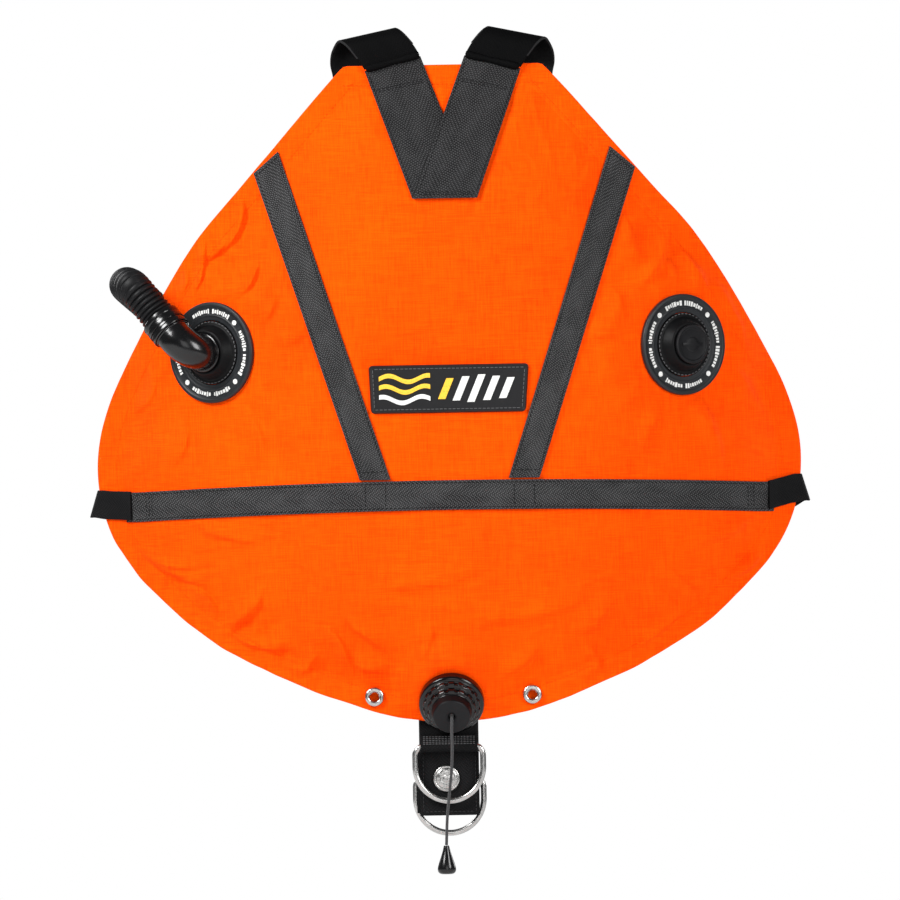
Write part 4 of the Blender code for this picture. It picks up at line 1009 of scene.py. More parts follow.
def line_distance(x, z, a, b):
    """(distance from the line from a to b, share of the way along it)."""
    run = (b[0] - a[0], b[1] - a[1])
    share = ((x - a[0]) * run[0] + (z - a[1]) * run[1]) / (run[0] ** 2 + run[1] ** 2)
    near = np.clip(share, 0, 1)
    return np.hypot(x - a[0] - run[0] * near, z - a[1] - run[1] * near), share


def held_down(x, z):
    """How far each point is from what is sewn or screwed to the front, in metres."""
    away = np.abs(z - WAIST_Z - waist_bend(x)) - NARROW / 2
    for side in (-1, 1):
        for (a, b), half in ((DIAGONAL, NARROW / 2), (V_LINE, WIDE / 2)):
            near, _ = line_distance(x, z, (side * a[0], a[1]), (side * b[0], b[1]))
            away = np.minimum(away, near - half)
        away = np.minimum(away, np.hypot(x - side * PORT_X, z - PORT_Z) - RING_OUTER)
        away = np.minimum(away, np.hypot(x - side * EYELET_X, z - EYELET_Z) - EYELET_R)
    left, right, low, high = BADGE_BOX
    beside = np.hypot(np.maximum(np.maximum(left - x, x - right), 0),
                      np.maximum(np.maximum(low - z, z - high), 0))
    away = np.minimum(away, beside)
    return np.minimum(away, np.hypot(x - VALVE[0], z - VALVE[2]) - 0.024)


def value_noise(x, z, size, seed):
    """Smooth noise from -1 to 1 whose bumps are about `size` across."""
    rng = np.random.default_rng(seed)
    table = rng.uniform(-1, 1, (64, 64))
    u, v = x / size + 200.0, z / size + 200.0
    i, j = np.floor(u).astype(int), np.floor(v).astype(int)
    fu, fv = u - i, v - j
    fu, fv = fu * fu * (3 - 2 * fu), fv * fv * (3 - 2 * fv)
    a, b = table[i % 64, j % 64], table[(i + 1) % 64, j % 64]
    c, d = table[i % 64, (j + 1) % 64], table[(i + 1) % 64, (j + 1) % 64]
    return (a * (1 - fu) + b * fu) * (1 - fv) + (c * (1 - fu) + d * fu) * fv


def creases(x, z, seed, mirrored=False):
    """How far the cloth stands out of its smooth surface."""
    inside = edge_distance(x, z)
    out = np.zeros(np.shape(x))
    for a, b, half, height in CREASES:
        if mirrored:
            a, b = (-a[0], a[1]), (-b[0], b[1])
        away, share = line_distance(x, z, a, b)
        run = (b[0] - a[0], b[1] - a[1])
        length = math.hypot(*run)
        aside = ((x - a[0]) * run[1] - (z - a[1]) * run[0]) / length
        aside = aside if run[1] + run[0] > 0 else -aside
        aside = aside + 0.35 * length * (share - 0.5) ** 2 + 0.0022 * value_noise(x, z, 0.017, seed + 5)
        past = np.maximum(away - np.abs(aside), 0)
        width = np.where(aside > 0, 0.60 * half, 2.2 * half)
        ends = smooth_step(share, -0.30, 0.35) * (1 - smooth_step(share, 0.60, 1.30))
        ridge = np.exp(-((aside / width) ** 2)) * np.exp(-((past / (2.5 * half)) ** 2))
        out += 3.4 * height * ends * ridge
    for side in (-1, 1):
        away = np.hypot(x - side * PORT_X, z - PORT_Z)
        turn = np.arctan2(z - PORT_Z, (x - side * PORT_X) * side)
        fan = (0.5 * np.cos(7 * turn + 1.1 + seed) + 0.35 * np.cos(12 * turn + 2.3)
               + 0.3 * np.cos(19 * turn + 0.4 * seed))
        out += 0.0014 * fan * np.exp(-(((away - 0.058) / 0.020) ** 2))
    # The seam that closes the border, and the small puckers beside it.
    along = np.arctan2(z - HUB_Z, x) * 0.30
    pucker = (value_noise(along, inside * 0.25, 0.0115, seed + 1)
              + 0.5 * value_noise(along, inside * 0.3, 0.006, seed + 2))
    low_corner = smooth_step(-z, 0.40, 0.50) * smooth_step(np.abs(x), 0.08, 0.18)
    out += 0.0023 * pucker * (0.45 + 0.9 * low_corner) * np.exp(-(((inside - 0.026) / 0.020) ** 2))
    low_edge = 0.25 + 0.75 * smooth_step(-z, 0.38, 0.46)
    broken = 0.55 + 0.45 * value_noise(along, inside * 0.1, 0.030, seed + 7)
    out -= 0.0010 * low_edge * broken * np.exp(-(((inside - 0.0165) / 0.0022) ** 2))
    out += 0.0006 * low_edge * np.exp(-(((inside - 0.0120) / 0.0040) ** 2))
    # Soft waves over the filled middle, and fine crumples.
    soft = smooth_step(inside, 0.015, 0.060)
    out += soft * (0.0030 * value_noise(x, z, 0.085, seed + 3)
                   + 0.0017 * value_noise(x, z * 0.7, 0.032, seed + 4))
    ridged = 1 - np.abs(value_noise(x * 0.8 + z * 0.3, z - x * 0.2, 0.016, seed + 6)) * 2.2
    out += 0.00060 * np.maximum(ridged, 0) * smooth_step(inside, 0.004, 0.03)
    return out


def front_creases(x, z):
    """Creases of the front panel, held flat where something is sewn over it."""
    away = held_down(x, z)
    free = smooth_step(away, -0.002, 0.014)
    swell = 0.0010 * smooth_step(away, 0.0, 0.035) * smooth_step(edge_distance(x, z), 0.018, 0.05)
    tuck = -0.0005 * np.exp(-((away / 0.0035) ** 2))
    return creases(x, z, 3) * free + swell + tuck * (away > -0.004)


# ---- Panels ----------------------------------------------------------------------------------------
def border_wave(x, z):
    """How far the sewn border wanders inwards or outwards, as (x, z) offsets."""
    inside = edge_distance(x, z)
    along = np.arctan2(z - HUB_Z, x) * 0.30
    low = 0.35 + 0.65 * smooth_step(-z, 0.36, 0.46)
    size = 0.0006 * low * (value_noise(along, 0 * along, 0.030, 61)
                           + 0.6 * value_noise(along, 0 * along, 0.013, 62))
    size = size * np.exp(-inside / 0.014) * smooth_step(-z, 0.034, 0.060)
    reach = np.hypot(x, z - HUB_Z) + 1e-6
    return size * x / reach, size * (z - HUB_Z) / reach


def panel_grid(rows, columns):
    shares = np.arange(rows + 1) / rows
    z = TOP_Z + (BOTTOM_Z + 0.0006 - TOP_Z) * (0.55 * shares + 0.45 * (1 - np.cos(np.pi * shares)) / 2)
    half = np.interp(z, EDGE_HEIGHTS, EDGE_WIDTHS)
    u = np.sin(np.linspace(-1, 1, columns + 1) * math.pi / 2 * 0.62) / math.sin(math.pi / 2 * 0.62)
    return half[:, None] * u[None, :], np.repeat(z[:, None], columns + 1, 1)


def punch(x, z, holes):
    """Moves the grid's nearest points onto each hole's rim and tells which cells are left."""
    x, z = x.copy(), z.copy()
    keep = np.ones((x.shape[0] - 1, x.shape[1] - 1), bool)
    for cx, cz, radius, squeeze in holes:
        dx, dz = (x - cx) / squeeze, z - cz
        away = np.hypot(dx, dz)
        centre_x = (x[:-1, :-1] + x[1:, 1:]) / 2
        centre_z = (z[:-1, :-1] + z[1:, 1:]) / 2
        keep &= np.hypot((centre_x - cx) / squeeze, centre_z - cz) > radius
        near = np.abs(away - radius) < 0.0019
        pull = radius / np.maximum(away, 1e-6)
        x = np.where(near, cx + dx * pull * squeeze, x)
        z = np.where(near, cz + dz * pull, z)
    return x, z, keep


def edge_roll(x, z, thickness):
    """How far a panel's face pulls back at its very edge, so that the rim is round."""
    inside = np.clip(edge_distance(x, z) / (thickness * 1.2), 0, 1)
    return thickness * 0.5 * (1 - np.sqrt(1 - (1 - inside) ** 2))


def make_front_panel():
    x, z = panel_grid(370, 400)
    lean = math.cos(PORT_TILT)
    holes = [(side * PORT_X, PORT_Z, NECK_R + 0.0022, lean) for side in (-1, 1)]
    holes += [(side * EYELET_X, EYELET_Z, EYELET_HOLE + 0.0017, 1.0) for side in (-1, 1)]
    holes.append((VALVE[0], VALVE[2], 0.0165, 1.0))
    x, z, keep = punch(x, z, holes)
    roll = edge_roll(x, z, FABRIC)
    y = front_y(x, z) - front_creases(x, z)
    under = np.minimum(y + FABRIC, middle_y(x) - SEAM_GAP * 0.6) - roll * 0.6
    dx, dz = border_wave(x, z)
    front = np.stack([x + dx, y + roll, z + dz], -1)
    back = np.stack([x + dx, under, z + dz], -1)
    return slab("front_panel_cloth", front, back, "orange_fabric", keep, replaces=["shell_front"])


def make_back_panel():
    x, z = panel_grid(170, 180)
    holes = [(side * EYELET_X, EYELET_Z, EYELET_HOLE + 0.0017, 1.0) for side in (-1, 1)]
    x, z, keep = punch(x, z, holes)
    middle_z, half_z = (ZIP_TOP + ZIP_BOTTOM) / 2, (ZIP_TOP - ZIP_BOTTOM) / 2
    cell_x, cell_z = (x[:-1, :-1] + x[1:, 1:]) / 2, (z[:-1, :-1] + z[1:, 1:]) / 2
    keep &= ~((np.abs(cell_x) < 0.0022) & (np.abs(cell_z - middle_z) < half_z - 0.006))
    roll = edge_roll(x, z, FABRIC)
    beside_zip = np.maximum(np.abs(x) - ZIP_WIDTH / 2, np.abs(z - middle_z) - half_z - 0.006)
    inside = edge_distance(x, z)
    free = smooth_step(beside_zip, 0.0, 0.014) * smooth_step(inside, 0.010, 0.03)
    behind_hose = 1 - smooth_step(np.hypot(x + 0.205, (z + 0.31) * 0.6), 0.05, 0.10)
    lift = creases(x, z, 21, True) * free * (1 - behind_hose)
    y = back_y(x, z) + lift
    under = np.maximum(y - FABRIC, middle_y(x) + SEAM_GAP * 0.6) + roll * 0.6
    dx, dz = border_wave(x, z)
    front = np.stack([x + dx, y - roll, z + dz], -1)
    back = np.stack([x + dx, under, z + dz], -1)
    return slab("back_panel_cloth", front, back, "black_lining", keep, replaces=["shell_back"])


def make_hem_tape():
    """The orange cloth of the front turned over the border onto the back."""
    route = [(px, pz) for px, pz in EDGE[1:]] + [(-px, pz) for px, pz in EDGE[1:-1][::-1]]
    count = len(route)
    shares = (0.0003, 0.004, 0.0085, 0.0125)
    flat = np.array(route)
    ahead, behind = np.roll(flat, -1, 0), np.roll(flat, 1, 0)
    run = ahead - behind
    normal = np.stack([-run[:, 1], run[:, 0]], 1) / np.linalg.norm(run, axis=1)[:, None]
    centre = np.array((0.0, -0.3))
    normal *= np.sign(((centre - flat) * normal).sum(1))[:, None]
    grids = []
    for high in (0.00085, 0.00015):
        rows = []
        for inward in shares:
            place = flat + normal * inward
            wobble = 0.00012 * value_noise(place[:, 0], place[:, 1], 0.01, 31)
            y = back_y(place[:, 0], place[:, 1]) + high + wobble * (high > 0.0005)
            dx, dz = border_wave(place[:, 0], place[:, 1])
            rows.append(np.stack([place[:, 0] + dx, y, place[:, 1] + dz], 1))
        grids.append(np.stack(rows))
    size = len(shares) * count
    points = np.concatenate([grid.reshape(-1, 3) for grid in grids])
    top = grid_faces(len(shares), count)
    faces = top + [tuple(i + size for i in f[::-1]) for f in top]
    last = (len(shares) - 1) * count
    for k in range(count):
        n = (k + 1) % count
        faces.append((n, k, k + size, n + size))
        faces.append((last + k, last + n, last + n + size, last + k + size))
    return add_piece("hem_tape", points, faces, "orange_fabric", sharp=60)


def make_air_cell():
    """The welded bag inside the shell, with its flat welded rim."""
    x, z = panel_grid(90, 96)
    middle = (TOP_Z + BOTTOM_Z) / 2
    scale = 0.86
    x, z = x * scale, middle + (z - middle) * scale
    holes = [(side * PORT_X, PORT_Z, NECK_R + 0.0022, math.cos(PORT_TILT)) for side in (-1, 1)]
    outer = np.maximum(front_y(x, z), plain_front_y(x, z)) + 0.0058
    inner = back_y(x, z) - 0.0058
    thick = np.maximum(inner - outer, 0.0012)
    wave = 0.0006 * value_noise(x, z, 0.03, 41)
    x, z, keep = punch(x, z, holes)
    front = np.stack([x, outer + wave, z], -1)
    back = np.stack([x, outer + thick + wave * 0.5, z], -1)
    cell = slab("air_cell_bag", front, back, "air_cell_film", keep, replaces=["bladder"])
    return cell


make_hem_tape()
make_air_cell()
make_front_panel()
make_back_panel()


# ---- Webbing ---------------------------------------------------------------------------------------
CLOSE = 0.0004  # webbing over the cloth


def plain_lift(x, z):
    return CLOSE


def over_lift(x, z):
    """The right shoulder web rises over the left one."""
    return CLOSE + 0.0019 * smooth_step(-z, 0.046, 0.066)


web_stitches = Stitching()
hem_stitches = Stitching()


def make_shoulder_webs():
    left = ((-0.0655, -0.0335), (-0.0185, -0.0215), (0.0265, -0.1415), (-0.0272, -0.1415))
    right = ((0.0185, -0.0215), (0.0655, -0.0335), (0.0272, -0.1415), (-0.0265, -0.1415))
    draped_web("shoulder_web_left_weave", left, WIDE_WEB, plain_lift,
               replaces=["shoulder_web_left"], slot="dark_webbing")
    draped_web("shoulder_web_right_weave", right, WIDE_WEB, over_lift,
               replaces=["shoulder_web_right"], slot="dark_webbing")
    for side, corners, lift in ((-1, left, plain_lift), (1, right, over_lift)):
        a, b, c, d = (Vector(p) for p in corners)
        face = (lambda x, z, lift=lift: lift(x, z) + WEB_THICK)
        rows = [(0.155, 0.06), (0.172, 0.06)] + [(0.955, 0.04), (0.972, 0.04)] * (side > 0)
        for share, inset in rows:
            one, two = a.lerp(d, share), b.lerp(c, share)
            web_stitches.on_panel([tuple(one.lerp(two, inset)), tuple(one.lerp(two, 1 - inset))], face)
        for across in (0.045, 0.955):
            one, two = a.lerp(b, across), d.lerp(c, across)
            start = one.lerp(two, 0.03)
            covered = side < 0 and across > 0.5
            web_stitches.on_panel([tuple(start), tuple(one.lerp(two, 0.42 if covered else 0.97))], face)


def make_shoulder_rolls():
    """The rolled fold at the top of each shoulder web, which the loop comes out of."""
    for side in (-1, 1):
        low, high = Vector((side * 0.0645, 0, -0.0330)), Vector((side * 0.0195, 0, -0.0215))
        path, radii = [], []
        for k in range(25):
            share = k / 24
            place = low.lerp(high, share)
            y = float(front_y(place.x, place.z)) - 0.0023
            path.append(Vector((place.x, y, place.z + 0.0012)))
            radii.append(0.0032 * (1 + 0.10 * math.sin(9 * share)) * (0.72 if k in (0, 24) else 1))
        word = WORDS[side]
        tube(f"shoulder_fold_{word}", path, radii, LOOKS["loop_band"], sides=20, slot="dark_webbing")


def make_shoulder_loop(side):
    route = (
        # x, y, z and the direction across the band
        (0.0424, -0.0043, -0.0262, 0.969, 0.00, -0.247),
        (0.0480, -0.0046, -0.0170, 0.970, 0.00, -0.240),
        (0.0550, -0.0030, -0.0085, 0.975, 0.00, -0.220),
        (0.0605, 0.0020, -0.0038, 0.980, 0.00, -0.210),
        (0.0640, 0.0085, -0.0035, 0.980, 0.05, -0.200),
        (0.0680, 0.0140, -0.0090, 0.960, 0.18, -0.200),
        (0.0725, 0.0185, -0.0170, 0.860, 0.48, -0.120),
        (0.0780, 0.0235, -0.0265, 0.650, 0.76, -0.050),
        (0.0815, 0.0268, -0.0370, 0.420, 0.90, 0.000),
        (0.0815, 0.0275, -0.0470, 0.420, 0.90, 0.000),
        (0.0785, 0.0255, -0.0590, 0.720, 0.69, 0.000),
        (0.0745, 0.0200, -0.0710, 0.930, 0.36, 0.000),
        (0.0720, 0.0130, -0.0830, 1.000, 0.05, 0.000),
        (0.0710, 0.0120, -0.1020, 1.000, 0.00, 0.000),
    )
    stations = [((side * x, y, z), (side * ax, ay, az)) for x, y, z, ax, ay, az in route]
    word = WORDS[side]
    routed_web(f"shoulder_band_{word}", stations, 0.048, 0.0022, "loop_band",
               replaces=[f"shoulder_loop_{word}"])
    # Thin lighter tubes along both edges of the band: a painted highlight on the edges that catch the light.
    for edge in (-1, 1):
        line = [tuple(Vector(centre) + Vector(across).normalized() * edge * 0.0236)
                for centre, across in stations[1:]]
        path = smooth_route(line, 0.0025)
        tube(f"band_edge_highlight_{word}_{'inner' if edge < 0 else 'outer'}", path, 0.0011, SELVEDGE_HIGHLIGHT, sides=12,
             slot="loop_band")


def make_diagonals():
    for side in (-1, 1):
        corners = [(-0.1605, -0.1175), (-0.1395, -0.0995), (-0.0495, -0.3770), (-0.0755, -0.3770)]
        if side > 0:
            corners = [(-x, z) for x, z in (corners[1], corners[0], corners[3], corners[2])]
        word = WORDS[side]
        draped_web(f"diagonal_web_{word}_weave", corners, "dark_webbing", plain_lift,
                   replaces=[f"diagonal_web_{word}"])
        a, b, c, d = (Vector(p) for p in corners)
        for across in (0.09, 0.91):
            web_stitches.on_panel([tuple(a.lerp(b, across)), tuple(d.lerp(c, across))], CLOSE + WEB_THICK)
        for share in (0.012, 0.975):
            one, two = a.lerp(d, share), b.lerp(c, share)
            web_stitches.on_panel([tuple(one.lerp(two, 0.1)), tuple(one.lerp(two, 0.9))], CLOSE + WEB_THICK)


def make_waist():
    top, low = WAIST_Z + NARROW / 2, WAIST_Z - NARROW / 2
    end = WAIST_END + 0.0110
    corners = ((-end, low), (-end, top), (end, top), (end, low))

    def waist_lift(x, z):
        crossing = np.maximum(np.abs(np.abs(x) - 0.0625) - 0.0165, 0)
        return CLOSE + 0.0006 * np.exp(-((crossing / 0.006) ** 2))

    draped_web("waist_web_weave", corners, "dark_webbing", waist_lift, bend=waist_bend,
               replaces=["waist_web"])
    face = (lambda x, z: waist_lift(x, z) + WEB_THICK)
    for z in (top - 0.0022, low + 0.0022):
        web_stitches.on_panel([(0.007 - end, z), (end - 0.007, z)], face, bend=waist_bend)
    for side in (-1, 1):
        for x in (0.054, 0.071, 0.251, 0.2535, 0.256):
            web_stitches.on_panel([(side * x, top - 0.002), (side * x, low + 0.002)], face, bend=waist_bend)
        stations = []
        z = WAIST_Z - WAIST_DROOP
        raised = 0.0040 * (side > 0)
        for x in (0.2690, 0.2730, 0.278, 0.283, 0.289):
            y = min(float(front_y(x, z + dz)) for dz in (-0.012, 0, 0.012)) - 0.0020 - 0.0014 * (x < 0.274)
            climb = (0.0010 + raised) * (x - 0.2690) / 0.02
            stations.append(((side * x, y, z + 0.0012 + climb), (0, 0, side)))
        edge_y = float(middle_y(0.2960))
        for turn in (-70, -35, 0, 35, 70):
            angle = math.radians(turn)
            stations.append(((side * (WAIST_TIP - 0.0044 - 0.0062 * (1 - math.cos(angle))),
                              edge_y + 0.0062 * math.sin(angle), z + 0.0032 + raised), (-0.30, 0, side)))
        for x in (0.289, 0.281, 0.272, 0.262, 0.252):
            y = max(float(back_y(x, z + dz)) for dz in (-0.012, 0, 0.012)) + 0.0024
            stations.append(((side * x, y, z + 0.0020), (0, 0, side)))
        word = WORDS[side]
        # The loops are the same webbing as the waist web but wear the much darker tail webbing look: painted
        # shade where they curve round the border.
        routed_web(f"waist_loop_{word}_weave", stations, NARROW - 0.001, WEB_THICK, LOOKS["tail_webbing"],
                   replaces=[f"waist_loop_{word}"], slot="dark_webbing")


def make_hem_stitches():
    """Two rows of stitches round the border, front and back."""
    centre = Vector((0, -0.3))
    route = [Vector(p) for p in EDGE[1:]] + [Vector((-x, z)) for x, z in EDGE[1:-1][::-1]]
    for inward, lift, back in ((0.0165, -0.0002, False), (0.0100, 0.0009, True)):
        line = []
        count = len(route)
        for i, p in enumerate(route):
            run = route[(i + 1) % count] - route[i - 1]
            normal = Vector((-run.y, run.x)).normalized()
            if normal.dot(centre - p) < 0:
                normal = -normal
            line.append(tuple(p + normal * inward))
        line.append(line[0])
        if back:
            hem_stitches.on_panel(line, lift, side=1, surface=back_y)
        else:
            hem_stitches.on_panel(line, (lambda x, z, lift=lift: front_creases(x, z) + lift))


make_shoulder_webs()
make_shoulder_rolls()
make_diagonals()
make_waist()
make_hem_stitches()
for side in (-1, 1):
    make_shoulder_loop(side)


# ---- Badge -----------------------------------------------------------------------------------------
def make_badge():
    """A moulded patch with a raised rim and a plain pattern of waves and bars."""
    top_left, top_right = Vector((-0.0665, -0.2810)), Vector((0.0680, -0.2810))
    low_right, low_left = Vector((0.0650, -0.3215)), Vector((-0.0650, -0.3215))
    rows, columns = 48, 150
    u, v = np.meshgrid(np.linspace(0, 1, columns + 1), np.linspace(0, 1, rows + 1))
    # The patch's ends lean, and its corners are cut round.
    x = (top_left.x * (1 - u) + top_right.x * u) * (1 - v) + (low_left.x * (1 - u) + low_right.x * u) * v
    z = top_left.y * (1 - v) + low_left.y * v + 0 * u
    width, height = 0.134, 0.0405
    from_edge = np.minimum(np.minimum(u, 1 - u) * width, np.minimum(v, 1 - v) * height)
    rim = smooth_step(from_edge, 0.0, 0.0007) * (1 - smooth_step(from_edge, 0.0021, 0.0027))
    plate = smooth_step(from_edge, 0.0, 0.0006)
    lift = CLOSE + 0.0012 * plate + 0.0008 * rim
    corner = 0.0035
    du = np.maximum(corner - np.minimum(u, 1 - u) * width, 0)
    dv = np.maximum(corner - np.minimum(v, 1 - v) * height, 0)
    round_off = np.maximum(np.hypot(du, dv) - corner, 0)
    x = x - np.sign(u - 0.5) * round_off * 0.72
    z = z + np.sign(v - 0.5) * round_off * 0.72
    y = front_y(x, z)
    front = np.stack([x, y - lift, z], -1)
    back = np.stack([x, y - CLOSE * 0.5, z], -1)
    slab("badge_patch", front, back, "badge_rubber", replaces=["badge"], sharp=60)

    def stripe(name, look, centre, half, start, end, slant=0.0):
        """A raised stripe whose centre line is a function of x."""
        steps = 60
        xs = np.linspace(start, end, steps + 1)
        grids = []
        for raised in (0.0019, 0.0010):
            both = []
            for sign in (1, 0.5, 0, -0.5, -1):
                xz_x = xs + slant * sign * half
                xz_z = centre(xs) + sign * half
                lower = 0.0002 * (abs(sign) == 1) * (raised > 0.0015)
                both.append(np.stack([xz_x, front_y(xz_x, xz_z) - CLOSE - raised + lower, xz_z], -1))
            grids.append(np.stack(both))
        slab(name, *grids, look, slot="badge_rubber", sharp=60)

    mid = -0.30125
    for k, look in enumerate((YELLOW_INK, YELLOW_INK, WHITE_INK)):
        base = mid + 0.0088 - 0.0088 * k
        stripe(f"badge_wave_{k + 1}", look,
               (lambda xs, base=base, k=k: base + 0.0026 * np.sin((xs + 0.058) / 0.0165 * math.pi + 0.5 * k)),
               0.0019, -0.0580, -0.0150)
    for k in range(5):
        left = -0.0050 + k * 0.0128
        tall = 0.0115 - 0.0014 * abs(k - 2)
        stripe(f"badge_bar_{k + 1}", WHITE_INK if k else YELLOW_INK, (lambda xs: mid + 0 * xs), tall,
               left, left + 0.0062, slant=0.42)


def make_badge_line():
    """A row of light stitches just inside the rim of the badge."""
    line = Stitching()
    corners = [(-0.0632, -0.2842), (0.0646, -0.2842), (0.0619, -0.3183), (-0.0619, -0.3183)]
    for a, b in zip(corners, corners[1:] + corners[:1]):
        line.on_panel([a, b], CLOSE + 0.0013)
    line.make("badge_stitches", GREY_THREAD, "badge_rubber")


# ---- Ports -----------------------------------------------------------------------------------------
def polar_pad(name, place, look, inner, outer, start, end, low, high):
    """A thin raised pad between two radii and two angles."""
    turns = np.linspace(start, end, 5)
    grids = []
    for height in (high, low):
        rows = []
        for radius in (inner, (inner + outer) / 2, outer):
            rows.append([tuple(place @ Vector((radius * math.cos(t), radius * math.sin(t), height)))
                         for t in turns])
        grids.append(np.array(rows))
    return slab(name, *grids, look, sharp=60)


def ring_print(side):
    """Four bands of short bars of uneven length with a round dot between them, as one piece."""
    word = WORDS[side]
    place = port_frame(side)
    points, faces = [], []
    rng = random.Random(11 if side < 0 else 12)

    def pad(outline, low, high):
        base = len(points)
        count = len(outline)
        for height in (low, high):
            points.extend(place @ Vector((x, y, height)) for x, y in outline)
        faces.append(tuple(base + count + k for k in range(count)))
        faces.append(tuple(base + k for k in range(count))[::-1])
        for k in range(count):
            n = (k + 1) % count
            faces.append((base + k, base + n, base + count + n, base + count + k))

    low, high = 0.0032, 0.00352
    middle = 0.0349
    for quarter in range(4):
        centre = math.radians(90 * quarter)
        turn = centre - math.radians(33)
        while turn < centre + math.radians(33):
            wide = math.radians(rng.choice((2.0, 2.6, 3.0, 3.6)))
            tall = rng.choice((0.0014, 0.0014, 0.0020))
            if turn + wide > centre + math.radians(34):
                break
            if abs(turn + wide / 2 - centre) > math.radians(2.2):
                outline = []
                for radius, sweep in ((middle - tall, (0, 0.5, 1)), (middle + tall, (1, 0.5, 0))):
                    for share in sweep:
                        angle = turn + wide * share
                        outline.append((radius * math.cos(angle), radius * math.sin(angle)))
                pad(outline, low, high)
            turn += wide + math.radians(1.3)
        spot = centre + math.radians(45)
        spot_x, spot_y = middle * math.cos(spot), middle * math.sin(spot)
        outline = [(spot_x + 0.0022 * math.cos(a), spot_y + 0.0022 * math.sin(a))
                   for a in (2 * math.pi * k / 20 for k in range(20))]
        pad(outline, low, high)
    add_piece(f"ring_marks_{word}", points, faces, WHITE_INK, slot="port_ring_rubber", sharp=30)


def make_port(side):
    word = WORDS[side]
    place = port_frame(side)
    ring = [(RING_INNER, 0.0006), (RING_OUTER, 0.0006), (RING_OUTER, 0.0030), (0.0420, 0.0040),
            (0.0398, 0.0043), (0.0388, 0.0038), (0.0383, 0.0033), (0.0322, 0.0033), (0.0317, 0.0037),
            (0.0308, 0.0037), (0.0303, 0.0032), (0.0278, 0.0032), (RING_INNER, 0.0029)]
    lathe(f"port_ring_{word}_moulded", rounded(ring, 0.0004), place, "port_ring_rubber", 160,
          replaces=[f"port_ring_{word}"])
    boot = [(NECK_R + 0.0004, 0.0006), (RING_INNER - 0.0004, 0.0006), (RING_INNER - 0.0006, 0.0034),
            (0.0247, 0.0040), (0.0236, 0.0041), (0.0228, 0.0048), (0.0219, 0.0064), (0.0206, 0.0090),
            (0.0194, 0.0110), (0.0186, 0.0124), (0.0178, 0.0128), (NECK_R + 0.0004, 0.0128)]
    lathe(f"port_boot_{word}_moulded", rounded(boot, 0.0005), place, "soft_rubber", 128,
          replaces=[f"port_boot_{word}"])
    ring_print(side)
    dashes = Stitching()
    out = place.col[2].to_3d()
    count = 44
    for k in range(count):
        ends = []
        for share in (k, k + 0.60):
            angle = 2 * math.pi * share / count
            ends.append(place @ Vector((0.0258 * math.cos(angle), 0.0258 * math.sin(angle), 0.0038)))
        dashes.one(*ends, out, 0.00042)
    dashes.make(f"port_stitches_{word}", GREY_THREAD, "soft_rubber")


def make_plug():
    place = port_frame(1)
    low = NECK_TOP + 0.0016
    plug = [(0, 0.0040), (0.0112, 0.0040), (0.0119, 0.0048), (0.0119, low), (0.0158, low),
            (0.0165, low + 0.0005), (0.0165, low + 0.0024), (0.0158, low + 0.0030),
            (0.0138, low + 0.0030), (0.0132, low + 0.0021), (0.0062, low + 0.0019),
            (0.0056, low + 0.0024), (0.0030, low + 0.0026), (0, low + 0.0026)]

    def knurl(radius, height, turn):
        if radius < 0.0160 or not low + 0.0003 < height < low + 0.0027:
            return radius
        return radius - 0.00028 * (0.5 + 0.5 * math.cos(60 * turn))

    lathe("port_plug_knurled", rounded(plug, 0.0003), place, "matte_plastic", 360, ripple=knurl,
          body="plug", replaces=["port_plug"])
    bar = []
    for half_x, half_y, height in ((0.0100, 0.0013, low + 0.0019), (0.0100, 0.0013, low + 0.0028),
                                   (0.0096, 0.0009, low + 0.0030)):
        bar.append([place @ Vector((x, y, height)) for x, y in
                    ((half_x, half_y), (-half_x, half_y), (-half_x, -half_y), (half_x, -half_y))])
    points = [p for ring in bar for p in ring]
    add_piece("port_plug_grip", points, bar_faces(3, 4), "matte_plastic", body="plug")


